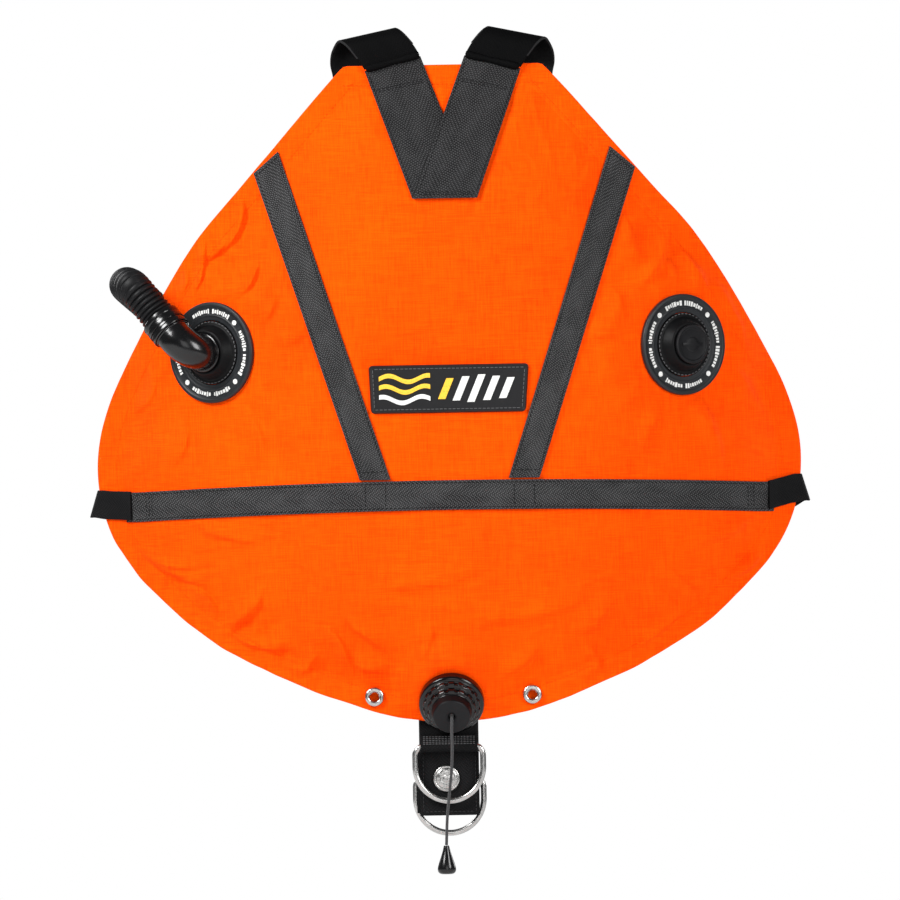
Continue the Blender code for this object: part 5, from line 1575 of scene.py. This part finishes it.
# ---- Elbow and its cuff ------------------------------------------------------------------------------
def make_elbow():
    normal, second, corner = elbow_axes()
    base = port_frame(-1).translation
    low = NECK_TOP + 0.0016
    path, outer, inner = [], [], []

    def add(place, radius, bore):
        path.append(place)
        outer.append(radius)
        inner.append(bore)

    for height, radius, bore in ((0.0045, 0.0117, 0.0095), (0.0050, 0.0119, 0.0095),
                                 (low + 0.0003, 0.0119, 0.0096), (low + 0.00035, 0.0156, 0.0097),
                                 (low + 0.0006, 0.0161, 0.0097), (low + 0.0010, 0.0162, 0.0098),
                                 (low + 0.0015, 0.0161, 0.0099), (low + 0.0018, 0.0156, 0.0100),
                                 (low + 0.00195, 0.0149, 0.0100), (low + 0.0024, 0.01485, 0.0101)):
        add(base + normal * height, radius, bore)
    centre = corner - normal * ELBOW_BEND + second * ELBOW_BEND
    steps = 36
    for step in range(steps + 1):
        angle = math.pi / 2 * step / steps
        swell = 0.00035 * math.sin(math.pi * step / steps)
        add(centre + ELBOW_BEND * (normal * math.sin(angle) - second * math.cos(angle)),
            ELBOW_R - 0.00015 + swell, ELBOW_BORE)
    for share, change in ((0.15, 0.0), (0.30, 0.0), (0.34, 0.0006), (0.42, 0.0008), (0.50, 0.0006),
                          (0.54, 0.0), (0.80, 0.0), (0.97, 0.0), (1.0, -0.0004)):
        reach = ELBOW_BEND + (ELBOW_END - ELBOW_BEND) * share
        add(corner + second * reach, ELBOW_R + change, ELBOW_BORE)
    tube("elbow_shell", path, outer, "gloss_plastic", inner=inner, sides=72, body=ARM,
         replaces=["elbow"], sharp=50)
    cuff_place = axis_frame(corner + second * (ELBOW_END - 0.0045), second, (0, 1, 0))
    hollow = HOSE_D / 2 + 0.0005
    cuff = [(hollow, 0.0002), (CUFF_R - 0.0006, 0.0), (CUFF_R, 0.0008), (CUFF_R - 0.0002, 0.0035),
            (CUFF_R - 0.0007, 0.0042), (CUFF_R - 0.0007, 0.0122), (CUFF_R - 0.0002, 0.0130),
            (CUFF_R, 0.0160), (CUFF_R - 0.0006, CUFF_LENGTH), (hollow, CUFF_LENGTH - 0.0002)]
    lathe("hose_cuff_moulded", rounded(cuff, 0.0004), cuff_place, LOOKS["gloss_plastic"], 96, body=ARM,
          replaces=["hose_cuff"], slot="soft_rubber")
    tie = [(CUFF_R - 0.0012, 0.0062), (CUFF_R - 0.0001, 0.0062), (CUFF_R - 0.0001, 0.0100),
           (CUFF_R - 0.0012, 0.0100)]
    lathe("hose_cuff_band", rounded(tie, 0.0003), cuff_place, "gloss_plastic", 96, body=ARM)


# ---- Inflator --------------------------------------------------------------------------------------
def make_inflator():
    low = Vector(HOSE_ROUTE[-1]) - Vector((0, 0, GAP))
    place = Matrix.Translation(low)
    hollow = HOSE_D / 2 + 0.0005
    cuff = [(hollow, -0.0045), (CUFF_R - 0.0006, -0.0045), (CUFF_R, -0.0038), (CUFF_R - 0.0006, -0.0020),
            (CUFF_R - 0.0006, 0.0085), (CUFF_R, 0.0105), (CUFF_R - 0.0006, 0.0115), (hollow, 0.0115)]
    lathe("inflator_cuff_moulded", rounded(cuff, 0.0004), place, "soft_rubber", 96, body=ARM,
          replaces=["inflator_cuff"])
    body = [(0.0090, -0.0600), (0.0090, 0.0), (0.0150, 0.0), (0.0150, -0.0052), (0.0160, -0.0075),
            (0.0166, -0.0115), (0.0176, -0.0190), (0.0189, -0.0300), (0.0194, -0.0450), (0.0195, -0.0620),
            (0.0191, -0.0780), (0.0186, -0.0868), (0.0180, -0.0872), (0.0180, -0.0886), (0.0184, -0.0890),
            (0.0176, -0.0925), (0.0162, -0.0948), (0.0096, -0.0950), (0.0093, -0.0944), (0.0093, -0.0800),
            (0, -0.0800), (0, -0.0600)]

    def grooves(radius, height, turn):
        """Grip ribs on the sides, away from the buttons and the mouthpiece."""
        if radius < 0.015 or height > -0.012 or height < -0.086:
            return radius
        facing = math.cos(turn + math.pi * 0.62)
        mask = float(smooth_step(facing, 0.30, 0.75))
        return radius - 0.0007 * mask * (0.5 + 0.5 * math.cos(2 * math.pi * height / 0.0052)) ** 2

    shaped = rounded(body, 0.0006)
    fine = []
    for (r1, h1), (r2, h2) in zip(shaped, shaped[1:]):
        parts = max(1, round(abs(h2 - h1) / 0.0008)) if min(r1, r2) > 0.0140 else 1
        fine += [(r1 + (r2 - r1) * k / parts, h1 + (h2 - h1) * k / parts) for k in range(parts)]
    fine.append(shaped[-1])
    lathe("inflator_housing", fine, place, "matte_plastic", 120, ripple=grooves, body=ARM,
          replaces=["inflator_body"])
    # The seat round the inflate button, the boss of the mouthpiece and that of the nipple.
    side = axis_frame(low + Vector((0, 0, -0.036)), (1, 0, 0))
    seat = [(0.0083, 0.0140), (0.0100, 0.0140), (0.0100, 0.0192), (0.0094, 0.0200), (0.0083, 0.0198)]
    lathe("inflate_seat", rounded(seat, 0.0004), side, "matte_plastic", 72, body=ARM)
    mouth_axis = Vector((0, math.cos(math.radians(20)), -math.sin(math.radians(20))))
    mouth = axis_frame(low + Vector((0, 0, -0.0640)), mouth_axis)
    boss = [(0.0113, 0.0150), (0.0138, 0.0150), (0.0136, 0.0212), (0.0128, 0.0220), (0.0113, 0.0218)]
    lathe("mouth_boss", rounded(boss, 0.0004), mouth, "matte_plastic", 72, body=ARM)
    nipple = axis_frame(low + Vector((0, 0, -0.0620)), (-0.94, 0, -0.342))
    collar = [(0.0054, 0.0150), (0.0078, 0.0150), (0.0076, 0.0208), (0.0070, 0.0216), (0.0054, 0.0214)]
    lathe("nipple_boss", rounded(collar, 0.0004), nipple, "matte_plastic", 64, body=ARM)
    button = [(0, 0.0180), (0.0076, 0.0180), (0.0076, 0.0220), (0.0070, 0.0231), (0.0052, 0.0232),
              (0.0036, 0.0229), (0, 0.0228)]
    lathe("inflate_button_cap", rounded(button, 0.0003), side, "red_button", 72, body="inflate_valve",
          replaces=["inflate_button"])
    deflate = [(0, -0.0990), (0.0040, -0.0991), (0.0070, -0.0995), (0.0078, -0.0994), (0.0086, -0.0984),
               (0.0086, -0.0880), (0, -0.0880)]
    lathe("deflate_button_cap", rounded(deflate, 0.0003), place, "gloss_plastic", 72,
          body="deflate_valve", replaces=["deflate_button"])
    turns, per_turn, top, foot = 3, 24, -0.0812, -0.0872
    coil = []
    for k in range(turns * per_turn + 1):
        angle = 2 * math.pi * k / per_turn
        height = foot + (top - foot) * k / (turns * per_turn)
        coil.append(low + Vector((0.0060 * math.cos(angle), 0.0060 * math.sin(angle), height)))
    spring = tube("deflate_spring_coil", coil, 0.00045, "stainless_steel", sides=10, body=ARM,
                  replaces=["deflate_spring"])
    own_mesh(spring)
    heights = [0.0085, 0.0150, 0.0235, 0.0250, 0.0268, 0.0285, 0.0300, 0.0315, 0.0330, 0.0345, 0.0360,
               0.0375, 0.0390, 0.0405, 0.0420, 0.0440, 0.0452, 0.0460]
    outer = [0.0109, 0.0109, 0.0110, 0.0126, 0.0134, 0.0136, 0.0130, 0.0136, 0.0130, 0.0137, 0.0131,
             0.0139, 0.0134, 0.0142, 0.0150, 0.0155, 0.0154, 0.0149]
    inner = [0.0075] * 5 + [0.0080] * 6 + [0.0085, 0.0088, 0.0092, 0.0096, 0.0100, 0.0104, 0.0110]
    path = [mouth @ Vector((0, 0, h)) for h in heights]
    tube("mouthpiece_bellows", path, outer, "soft_rubber", inner=inner, sides=72, body=ARM,
         replaces=["mouthpiece"])
    stem = [(0, 0.0126), (0.0050, 0.0126), (0.0050, 0.0236), (0.0062, 0.0239), (0.0062, 0.0266),
            (0.0046, 0.0270), (0.0046, 0.0310), (0.0034, 0.0316), (0.0034, 0.0342), (0.0046, 0.0350),
            (0.0046, 0.0386), (0.0040, 0.0392), (0.0017, 0.0392), (0.0017, 0.0340), (0, 0.0340)]
    lathe("air_nipple_turned", rounded(stem, 0.0002), nipple, "stainless_steel", 72, body=ARM,
          replaces=["air_nipple"])


# ---- Dump valve --------------------------------------------------------------------------------------
def make_valve():
    place = valve_frame()
    cap = [
        (0.0156, 0.0006), (0.0262, 0.0006), (0.0273, 0.0014), (0.0275, 0.0026), (0.0274, 0.0074),
        (0.0270, 0.0086), (0.0262, 0.0094), (0.0252, 0.0099), (0.0244, 0.0102), (0.0241, 0.0108),
        (0.0238, 0.0134), (0.0232, 0.0141), (0.0222, 0.0144), (0.0213, 0.0145), (0.0206, 0.0148),
        (0.0204, 0.0154), (0.0202, 0.0186), (0.0196, 0.0194), (0.0186, 0.0197), (0.0178, 0.0199),
        (0.0172, 0.0204), (0.0170, 0.0212), (0.0162, 0.0262), (0.0158, 0.0280), (0.0148, VALVE_TOP),
        (0.0046, VALVE_TOP), (0.0038, 0.0283), (0.0026, 0.0279), (0.0026, 0.0262), (0.0126, 0.0262),
        (0.0156, 0.0150),
    ]

    def notches(radius, height, turn):
        """Short slots cut in the shoulders of both steps."""
        for low, high, inner, outer, count, deep in ((0.0106, 0.0146, 0.0214, 0.0246, 18, 0.0011),
                                                     (0.0152, 0.0199, 0.0180, 0.0206, 14, 0.0010)):
            if low < height < high and inner < radius < outer:
                wave = 0.5 + 0.5 * math.cos(count * turn)
                return radius - deep * float(smooth_step(wave, 0.55, 0.80))
        return radius

    outside = lathe("valve_cap_stepped", rounded(cap, 0.0004), place, VALVE_PLASTIC, 360,
                    ripple=notches, replaces=["valve_cap"], slot="gloss_plastic")
    outside.data.materials.append(LOOKS["soft_rubber"])
    outside.data.materials.append(LOOKS["matte_plastic"])
    axis, origin = place.col[2].to_3d(), place.translation
    for face in outside.data.polygons:
        height = (face.center - origin).dot(axis)
        if height > VALVE_CONE:
            face.material_index = 2 if height > VALVE_TOP - 0.0008 else 1


# ---- Tail ------------------------------------------------------------------------------------------
def flat_weave(name, left, right, low, high, y, thickness, look, **rest):
    """Flat webbing in the XZ plane with round selvedges, and a hole for the screw."""
    columns, rows = 40, max(8, round((high - low) / 0.0022))
    x, z = np.meshgrid(np.linspace(left, right, columns + 1), np.linspace(high, low, rows + 1))
    x, z, keep = punch(x, z, [(SCREW_X, SCREW_Z, 0.0031, 1.0)])
    beside = np.minimum(x - left, right - x)
    ends = np.minimum(z - low, high - z)
    share = np.clip(np.minimum(beside, ends * 1.5) / 0.0008, 0, 1)
    roll = thickness * 0.42 * (1 - np.sqrt(1 - (1 - share) ** 2))
    front = np.stack([x, y + roll, z], -1)
    back = np.stack([x, y + thickness - roll, z], -1)
    uv = np.stack([x - (left + right) / 2, z], -1)
    return slab(name, front, back, look, keep, uv=uv, sharp=60, **rest)


def keeper(name, route, width, look, **rest):
    stations = [((TAIL_X, y, z), (1, 0, 0)) for y, z in route]
    return routed_web(name, stations, width, 0.0015, look, step=0.0012, **rest)


def d_ring(name, bar, body, node):
    """A welded D-ring: a straight bar with tight corners and a deep bow, and a faint weld bead."""
    y, z = bar
    half, drop, corner, arms = RING_HALF, RING_DROP, 0.0070, 0.0170
    points = [(0.0, 0.0), (half - corner, 0.0)]
    for k in range(1, 13):
        turn = math.pi / 2 * k / 12
        points.append((half - corner + corner * math.sin(turn), -corner + corner * math.cos(turn)))
    for k in range(1, 64):
        turn = math.pi * k / 64
        points.append((half * math.cos(turn), -arms - (drop - arms) * math.sin(turn)))
    for k in range(12, 0, -1):
        turn = math.pi / 2 * k / 12
        points.append((-half + corner - corner * math.sin(turn), -corner + corner * math.cos(turn)))
    points.append((-half + corner, 0.0))
    path = [Vector((TAIL_X + px, y, z + pz)) for px, pz in points]
    path = dense(path + [path[0]], 0.0016)[0][:-1]
    radii = []
    for p in path:
        weld = 0.05 * math.exp(-((p.x - TAIL_X) / 0.0014) ** 2) * (abs(p.z - z) < 0.001)
        radii.append(RING_WIRE / 2 * (1 + weld))
    tube(name, path, radii, "stainless_steel", sides=36, closed=True, body=body, replaces=[node])


tail_stitches = Stitching()
keeper_stitches = Stitching()


def make_tail():
    half = WIDE / 2
    flat_weave("tail_web_weave", TAIL_X - half, TAIL_X + half, TAIL_BOTTOM, TAIL_TOP, TAIL_Y, 0.0020,
               "tail_webbing", replaces=["tail_web"])
    second_y = TAIL_Y + 0.0020 + GAP
    flat_weave("tail_backing_weave", TAIL_X - 0.0025 - half, TAIL_X - 0.0025 + half, -0.6575, -0.6060,
               second_y, 0.0018, "tail_webbing", replaces=["tail_backing"])
    y, z = UPPER_BAR
    reach = RING_WIRE / 2 + 0.0009 + 0.0008
    front = [(TAIL_Y - GAP - 0.0008, KEEPER_TOP), (TAIL_Y - GAP - 0.0008, z + 0.001)]
    for turn in (15, 50, 85, 120, 155, 180):
        angle = math.radians(turn)
        front.append((y + reach * math.cos(angle), z - reach * math.sin(angle)))
    front += [(y - reach + 0.0003, z + 0.0032), (y - 0.0010, z + 0.0070), (y - 0.0010, KEEPER_TOP)]
    keeper("ring_keeper_upper_weave", front, WIDE - 0.002, "tail_webbing", replaces=["ring_keeper_upper"])
    for row, deep in ((-0.5934, 0.0048), (-0.5949, 0.0052), (-0.5964, 0.0063), (-0.5979, 0.0074),
                      (-0.5994, 0.0079)):
        ends = [Vector((TAIL_X + side * (half - 0.002), -deep, row)) for side in (-1, 1)]
        keeper_stitches.line(ends, [Vector((0, -1, 0))] * 2, 0.0026, 0.0019)
    y, z = LOWER_BAR
    foot = second_y + 0.0018 + GAP + 0.0008
    back = [(foot, z + 0.0185), (foot, z + 0.0100), (foot + 0.0030, z + 0.0092)]
    for turn in (60, 30, 0, -30, -60):
        angle = math.radians(turn)
        back.append((y + 0.0012 + reach * math.cos(angle), z + 2.1 * reach * math.sin(angle)))
    back += [(foot + 0.0030, z - 0.0092), (foot, z - 0.0100), (foot, z - 0.0185)]
    keeper("ring_keeper_lower_weave", back, WIDE - 0.006, "tail_webbing", replaces=["ring_keeper_lower"])
    for row in (z + 0.0170, z + 0.0150, z - 0.0150, z - 0.0170):
        ends = [Vector((TAIL_X + side * (half - 0.006), foot + 0.0009, row)) for side in (-1, 1)]
        tail_stitches.line(ends, [Vector((0, 1, 0))] * 2, 0.0030, 0.0022)
    for side in (-1, 1):
        x = TAIL_X + side * (half - 0.0030)
        ends = [Vector((x, TAIL_Y - 0.0001, -0.6080)), Vector((x, TAIL_Y - 0.0001, TAIL_BOTTOM + 0.003))]
        tail_stitches.line(ends, [Vector((0, -1, 0))] * 2, 0.0034, 0.0025)
    ends = [Vector((TAIL_X + side * (half - 0.003), TAIL_Y - 0.0001, TAIL_BOTTOM + 0.0032))
            for side in (-1, 1)]
    tail_stitches.line(ends, [Vector((0, -1, 0))] * 2, 0.0034, 0.0025)
    d_ring("d_ring_upper_forged", UPPER_BAR, "upper_ring", "d_ring_upper")
    d_ring("d_ring_lower_forged", LOWER_BAR, "lower_ring", "d_ring_lower")

    place = axis_frame(Vector((SCREW_X, TAIL_Y, SCREW_Z)), (0, -1, 0))
    head = [(0, -0.0042), (0.0024, -0.0042), (0.0024, 0.0003), (0.0100, 0.0003), (0.0110, 0.0008),
            (0.0112, 0.0013), (0.0106, 0.0019), (0.0098, 0.0021), (0.0094, 0.0019), (0.0088, 0.0020),
            (0.0084, 0.0024), (0.0070, 0.0028), (0.0050, 0.0031), (0.0048, 0.0027), (0.0030, 0.0027),
            (0.0028, 0.0031), (0.0012, 0.0032), (0, 0.0032)]
    lathe("book_screw_domed", rounded(head, 0.00025), place, "stainless_steel", 96,
          replaces=["book_screw"])
    # Plain raised rays round the screw's middle.
    for k in range(10):
        angle = 2 * math.pi * k / 10
        polar_pad(f"screw_ray_{k + 1}", place, "stainless_steel", 0.0056, 0.0080, angle - 0.12,
                  angle + 0.12, 0.0022, 0.0032)
    nut = [(0, -0.0064), (0.0062, -0.0064), (0.0068, -0.0058), (0.0068, -0.0050), (0.0062, -0.0045),
           (0, -0.0045)]
    lathe("book_nut_turned", rounded(nut, 0.0003), place, "stainless_steel", 72, replaces=["book_nut"])


def make_eyelet(side):
    word = WORDS[side]
    place = axis_frame(Vector((side * EYELET_X, middle_y(EYELET_X), EYELET_Z)), (0, -1, 0))
    face = SEAM_GAP + FABRIC + 0.0020
    barrel = EYELET_HOLE + 0.0008
    flange = [(EYELET_HOLE, -face - 0.0008), (barrel, -face - 0.0010), (barrel, face - 0.0003)]
    for k in range(9):
        turn = math.pi * k / 8
        centre, bow = (EYELET_R + EYELET_HOLE) / 2, (EYELET_R - EYELET_HOLE) / 2
        flange.append((centre + bow * math.cos(turn), face - 0.0002 + 0.0016 * math.sin(turn)))
    lathe(f"eyelet_{word}_rolled", flange, place, "stainless_steel", 72, replaces=[f"eyelet_{word}"])
    washer = EYELET_R - 0.0004
    rim = [(barrel + GAP, -face - 0.0012), (washer, -face - 0.0009), (washer, -face - GAP),
           (barrel + GAP, -face - GAP)]
    lathe(f"eyelet_washer_{word}_pressed", rounded(rim, 0.0002), place, "stainless_steel", 72,
          replaces=[f"eyelet_washer_{word}"])
    disc = EYELET_HOLE - 0.00015
    lining = [(0, -face + 0.0004), (disc, -face + 0.0004), (disc, -face + 0.0010), (0, -face + 0.0010)]
    lathe(f"eyelet_lining_{word}", lining, place, "orange_fabric", 48)


# ---- Zip -------------------------------------------------------------------------------------------
def make_zip():
    """Woven tape, a moulded chain of small teeth that mesh, and the tape's stitches."""
    base = float(back_y(0, -0.3)) + GAP
    tape, length = 0.0010, ZIP_TOP - ZIP_BOTTOM
    rows, columns = 90, 24
    x, z = np.meshgrid(np.linspace(-ZIP_WIDTH / 2, ZIP_WIDTH / 2, columns + 1),
                       np.linspace(ZIP_TOP + 0.006, ZIP_BOTTOM - 0.006, rows + 1))
    beside = np.clip((ZIP_WIDTH / 2 - np.abs(x)) / 0.0006, 0, 1)
    roll = tape * 0.4 * (1 - np.sqrt(1 - (1 - beside) ** 2))
    y = base + 0 * x
    front = np.stack([x, y + tape - roll, z], -1)
    back = np.stack([x, y + roll, z], -1)
    slab("zip_tape", front, back, "zip_black", replaces=["zip_track"], uv=np.stack([x, z], -1))
    points, faces = [], []
    pitch = 0.0030
    count = int(length / pitch)
    low, high = base + tape - 0.0001, base + tape + 0.0014
    for k in range(count * 2):
        side = 1 if k % 2 else -1
        top = ZIP_TOP - (k + 0.5) * pitch / 2
        tooth = ((-0.0032 * side, 0.00060), (-0.0012 * side, 0.00064), (0.0004 * side, 0.00064),
                 (0.0012 * side, 0.00042), (0.0012 * side, -0.00042), (0.0004 * side, -0.00064),
                 (-0.0012 * side, -0.00064), (-0.0032 * side, -0.00060))
        start = len(points)
        for y_at, shrink in ((low, 1.0), (high - 0.0003, 1.0), (high, 0.72)):
            for tx, tz in tooth:
                points.append((tx * (shrink if y_at == high else 1), y_at, top + tz * shrink))
        n = len(tooth)
        for ring in range(2):
            for i in range(n):
                j = (i + 1) % n
                face = (start + ring * n + i, start + ring * n + j, start + (ring + 1) * n + j,
                        start + (ring + 1) * n + i)
                faces.append(face if side > 0 else face[::-1])
        cap = [tuple(start + i for i in range(n))[::-1], tuple(start + 2 * n + i for i in range(n))]
        faces += cap if side > 0 else [f[::-1] for f in cap]
    add_piece("zip_chain", points, faces, "zip_black", sharp=30)
    zip_stitches = Stitching()
    for x_at in (-ZIP_WIDTH / 2 + 0.0030, ZIP_WIDTH / 2 - 0.0030):
        ends = [Vector((x_at, base + tape + 0.0001, z_at)) for z_at in (ZIP_TOP + 0.003, ZIP_BOTTOM - 0.003)]
        zip_stitches.line(ends, [Vector((0, 1, 0))] * 2, 0.0034, 0.0025)
    zip_stitches.make("zip_stitches", BLACK_THREAD, "zip_black")


def make_zip_slider():
    base = float(back_y(0, -0.3)) + GAP
    top = base + 0.0010 + 0.0014 + GAP
    middle = ZIP_TOP - 0.0065
    outline = []
    for k in range(40):
        turn = 2 * math.pi * k / 40
        x = 0.0044 * math.copysign(abs(math.cos(turn)) ** 0.55, math.cos(turn))
        z = 0.0058 * math.copysign(abs(math.sin(turn)) ** 0.55, math.sin(turn))
        x *= 1 - 0.22 * smooth_step(-z, -0.001, 0.006)
        outline.append((float(x), z))
    rings = []
    for y, shrink in ((top, 0.94), (top + 0.0004, 1.0), (top + 0.0016, 1.0), (top + 0.0021, 0.93),
                      (top + 0.0022, 0.84)):
        rings.append([(x * shrink, y, middle + z * shrink) for x, z in outline])
    points = [p for ring in rings for p in ring]
    add_piece("zip_slider_body", points, bar_faces(len(rings), 40), "stainless_steel", body="zip_runner",
              replaces=["zip_slider"], sharp=50)
    bow = [Vector((0, top + out, middle + down)) for out, down in (
        (0.0018, 0.0040), (0.0036, 0.0036), (0.0050, 0.0018), (0.0052, 0), (0.0050, -0.0018),
        (0.0036, -0.0036), (0.0018, -0.0040))]
    tube("zip_slider_bridge", smooth_route(bow, 0.0005), 0.0009, "stainless_steel", sides=16,
         body="zip_runner")
    hinge = Vector((0, top + 0.0037, middle))
    loop = [(-0.0030, 0), (0.0030, 0), (0.0034, -0.0020), (0.0034, -0.0060), (0.0034, -0.0220),
            (0.0022, -0.0250), (-0.0022, -0.0250), (-0.0034, -0.0220), (-0.0034, -0.0060),
            (-0.0034, -0.0020)]
    route = [tuple(hinge + Vector((x, 0, z))) for x, z in loop + loop[:1]]
    path, _ = dense(smooth_route(route, 0.0006), 0.0006)
    tube("zip_pull_wire", path[:-1], 0.0008, "stainless_steel", sides=16, closed=True, body="zip_tab",
         replaces=["zip_pull"])


make_badge()
make_badge_line()
make_plug()
make_elbow()
make_inflator()
make_valve()
make_tail()
make_zip()
make_zip_slider()
for side in (-1, 1):
    make_port(side)
    make_eyelet(side)
web_stitches.make("web_stitches", BLACK_THREAD, "dark_webbing")
hem_stitches.make("hem_stitches", ORANGE_THREAD, "orange_fabric")
tail_stitches.make("tail_stitches", DARK_GREY_THREAD, "tail_webbing")
keeper_stitches.make("keeper_stitches", GREY_THREAD, "tail_webbing")


# ---- CAD pieces that stay --------------------------------------------------------------------------
def dress_cad_pieces():
    """Gives every CAD node that still shows the look of its material slot."""
    slots = {row["node"]: row["material_slot"] for row in frame["record"]["subparts"]}
    for name, obj in frame["nodes"].items():
        for place in obj.material_slots:
            place.material = LOOKS[slots[name]]
        if not obj.material_slots:
            obj.data.materials.append(LOOKS[slots[name]])


dress_cad_pieces()


bpy.context.view_layer.update()
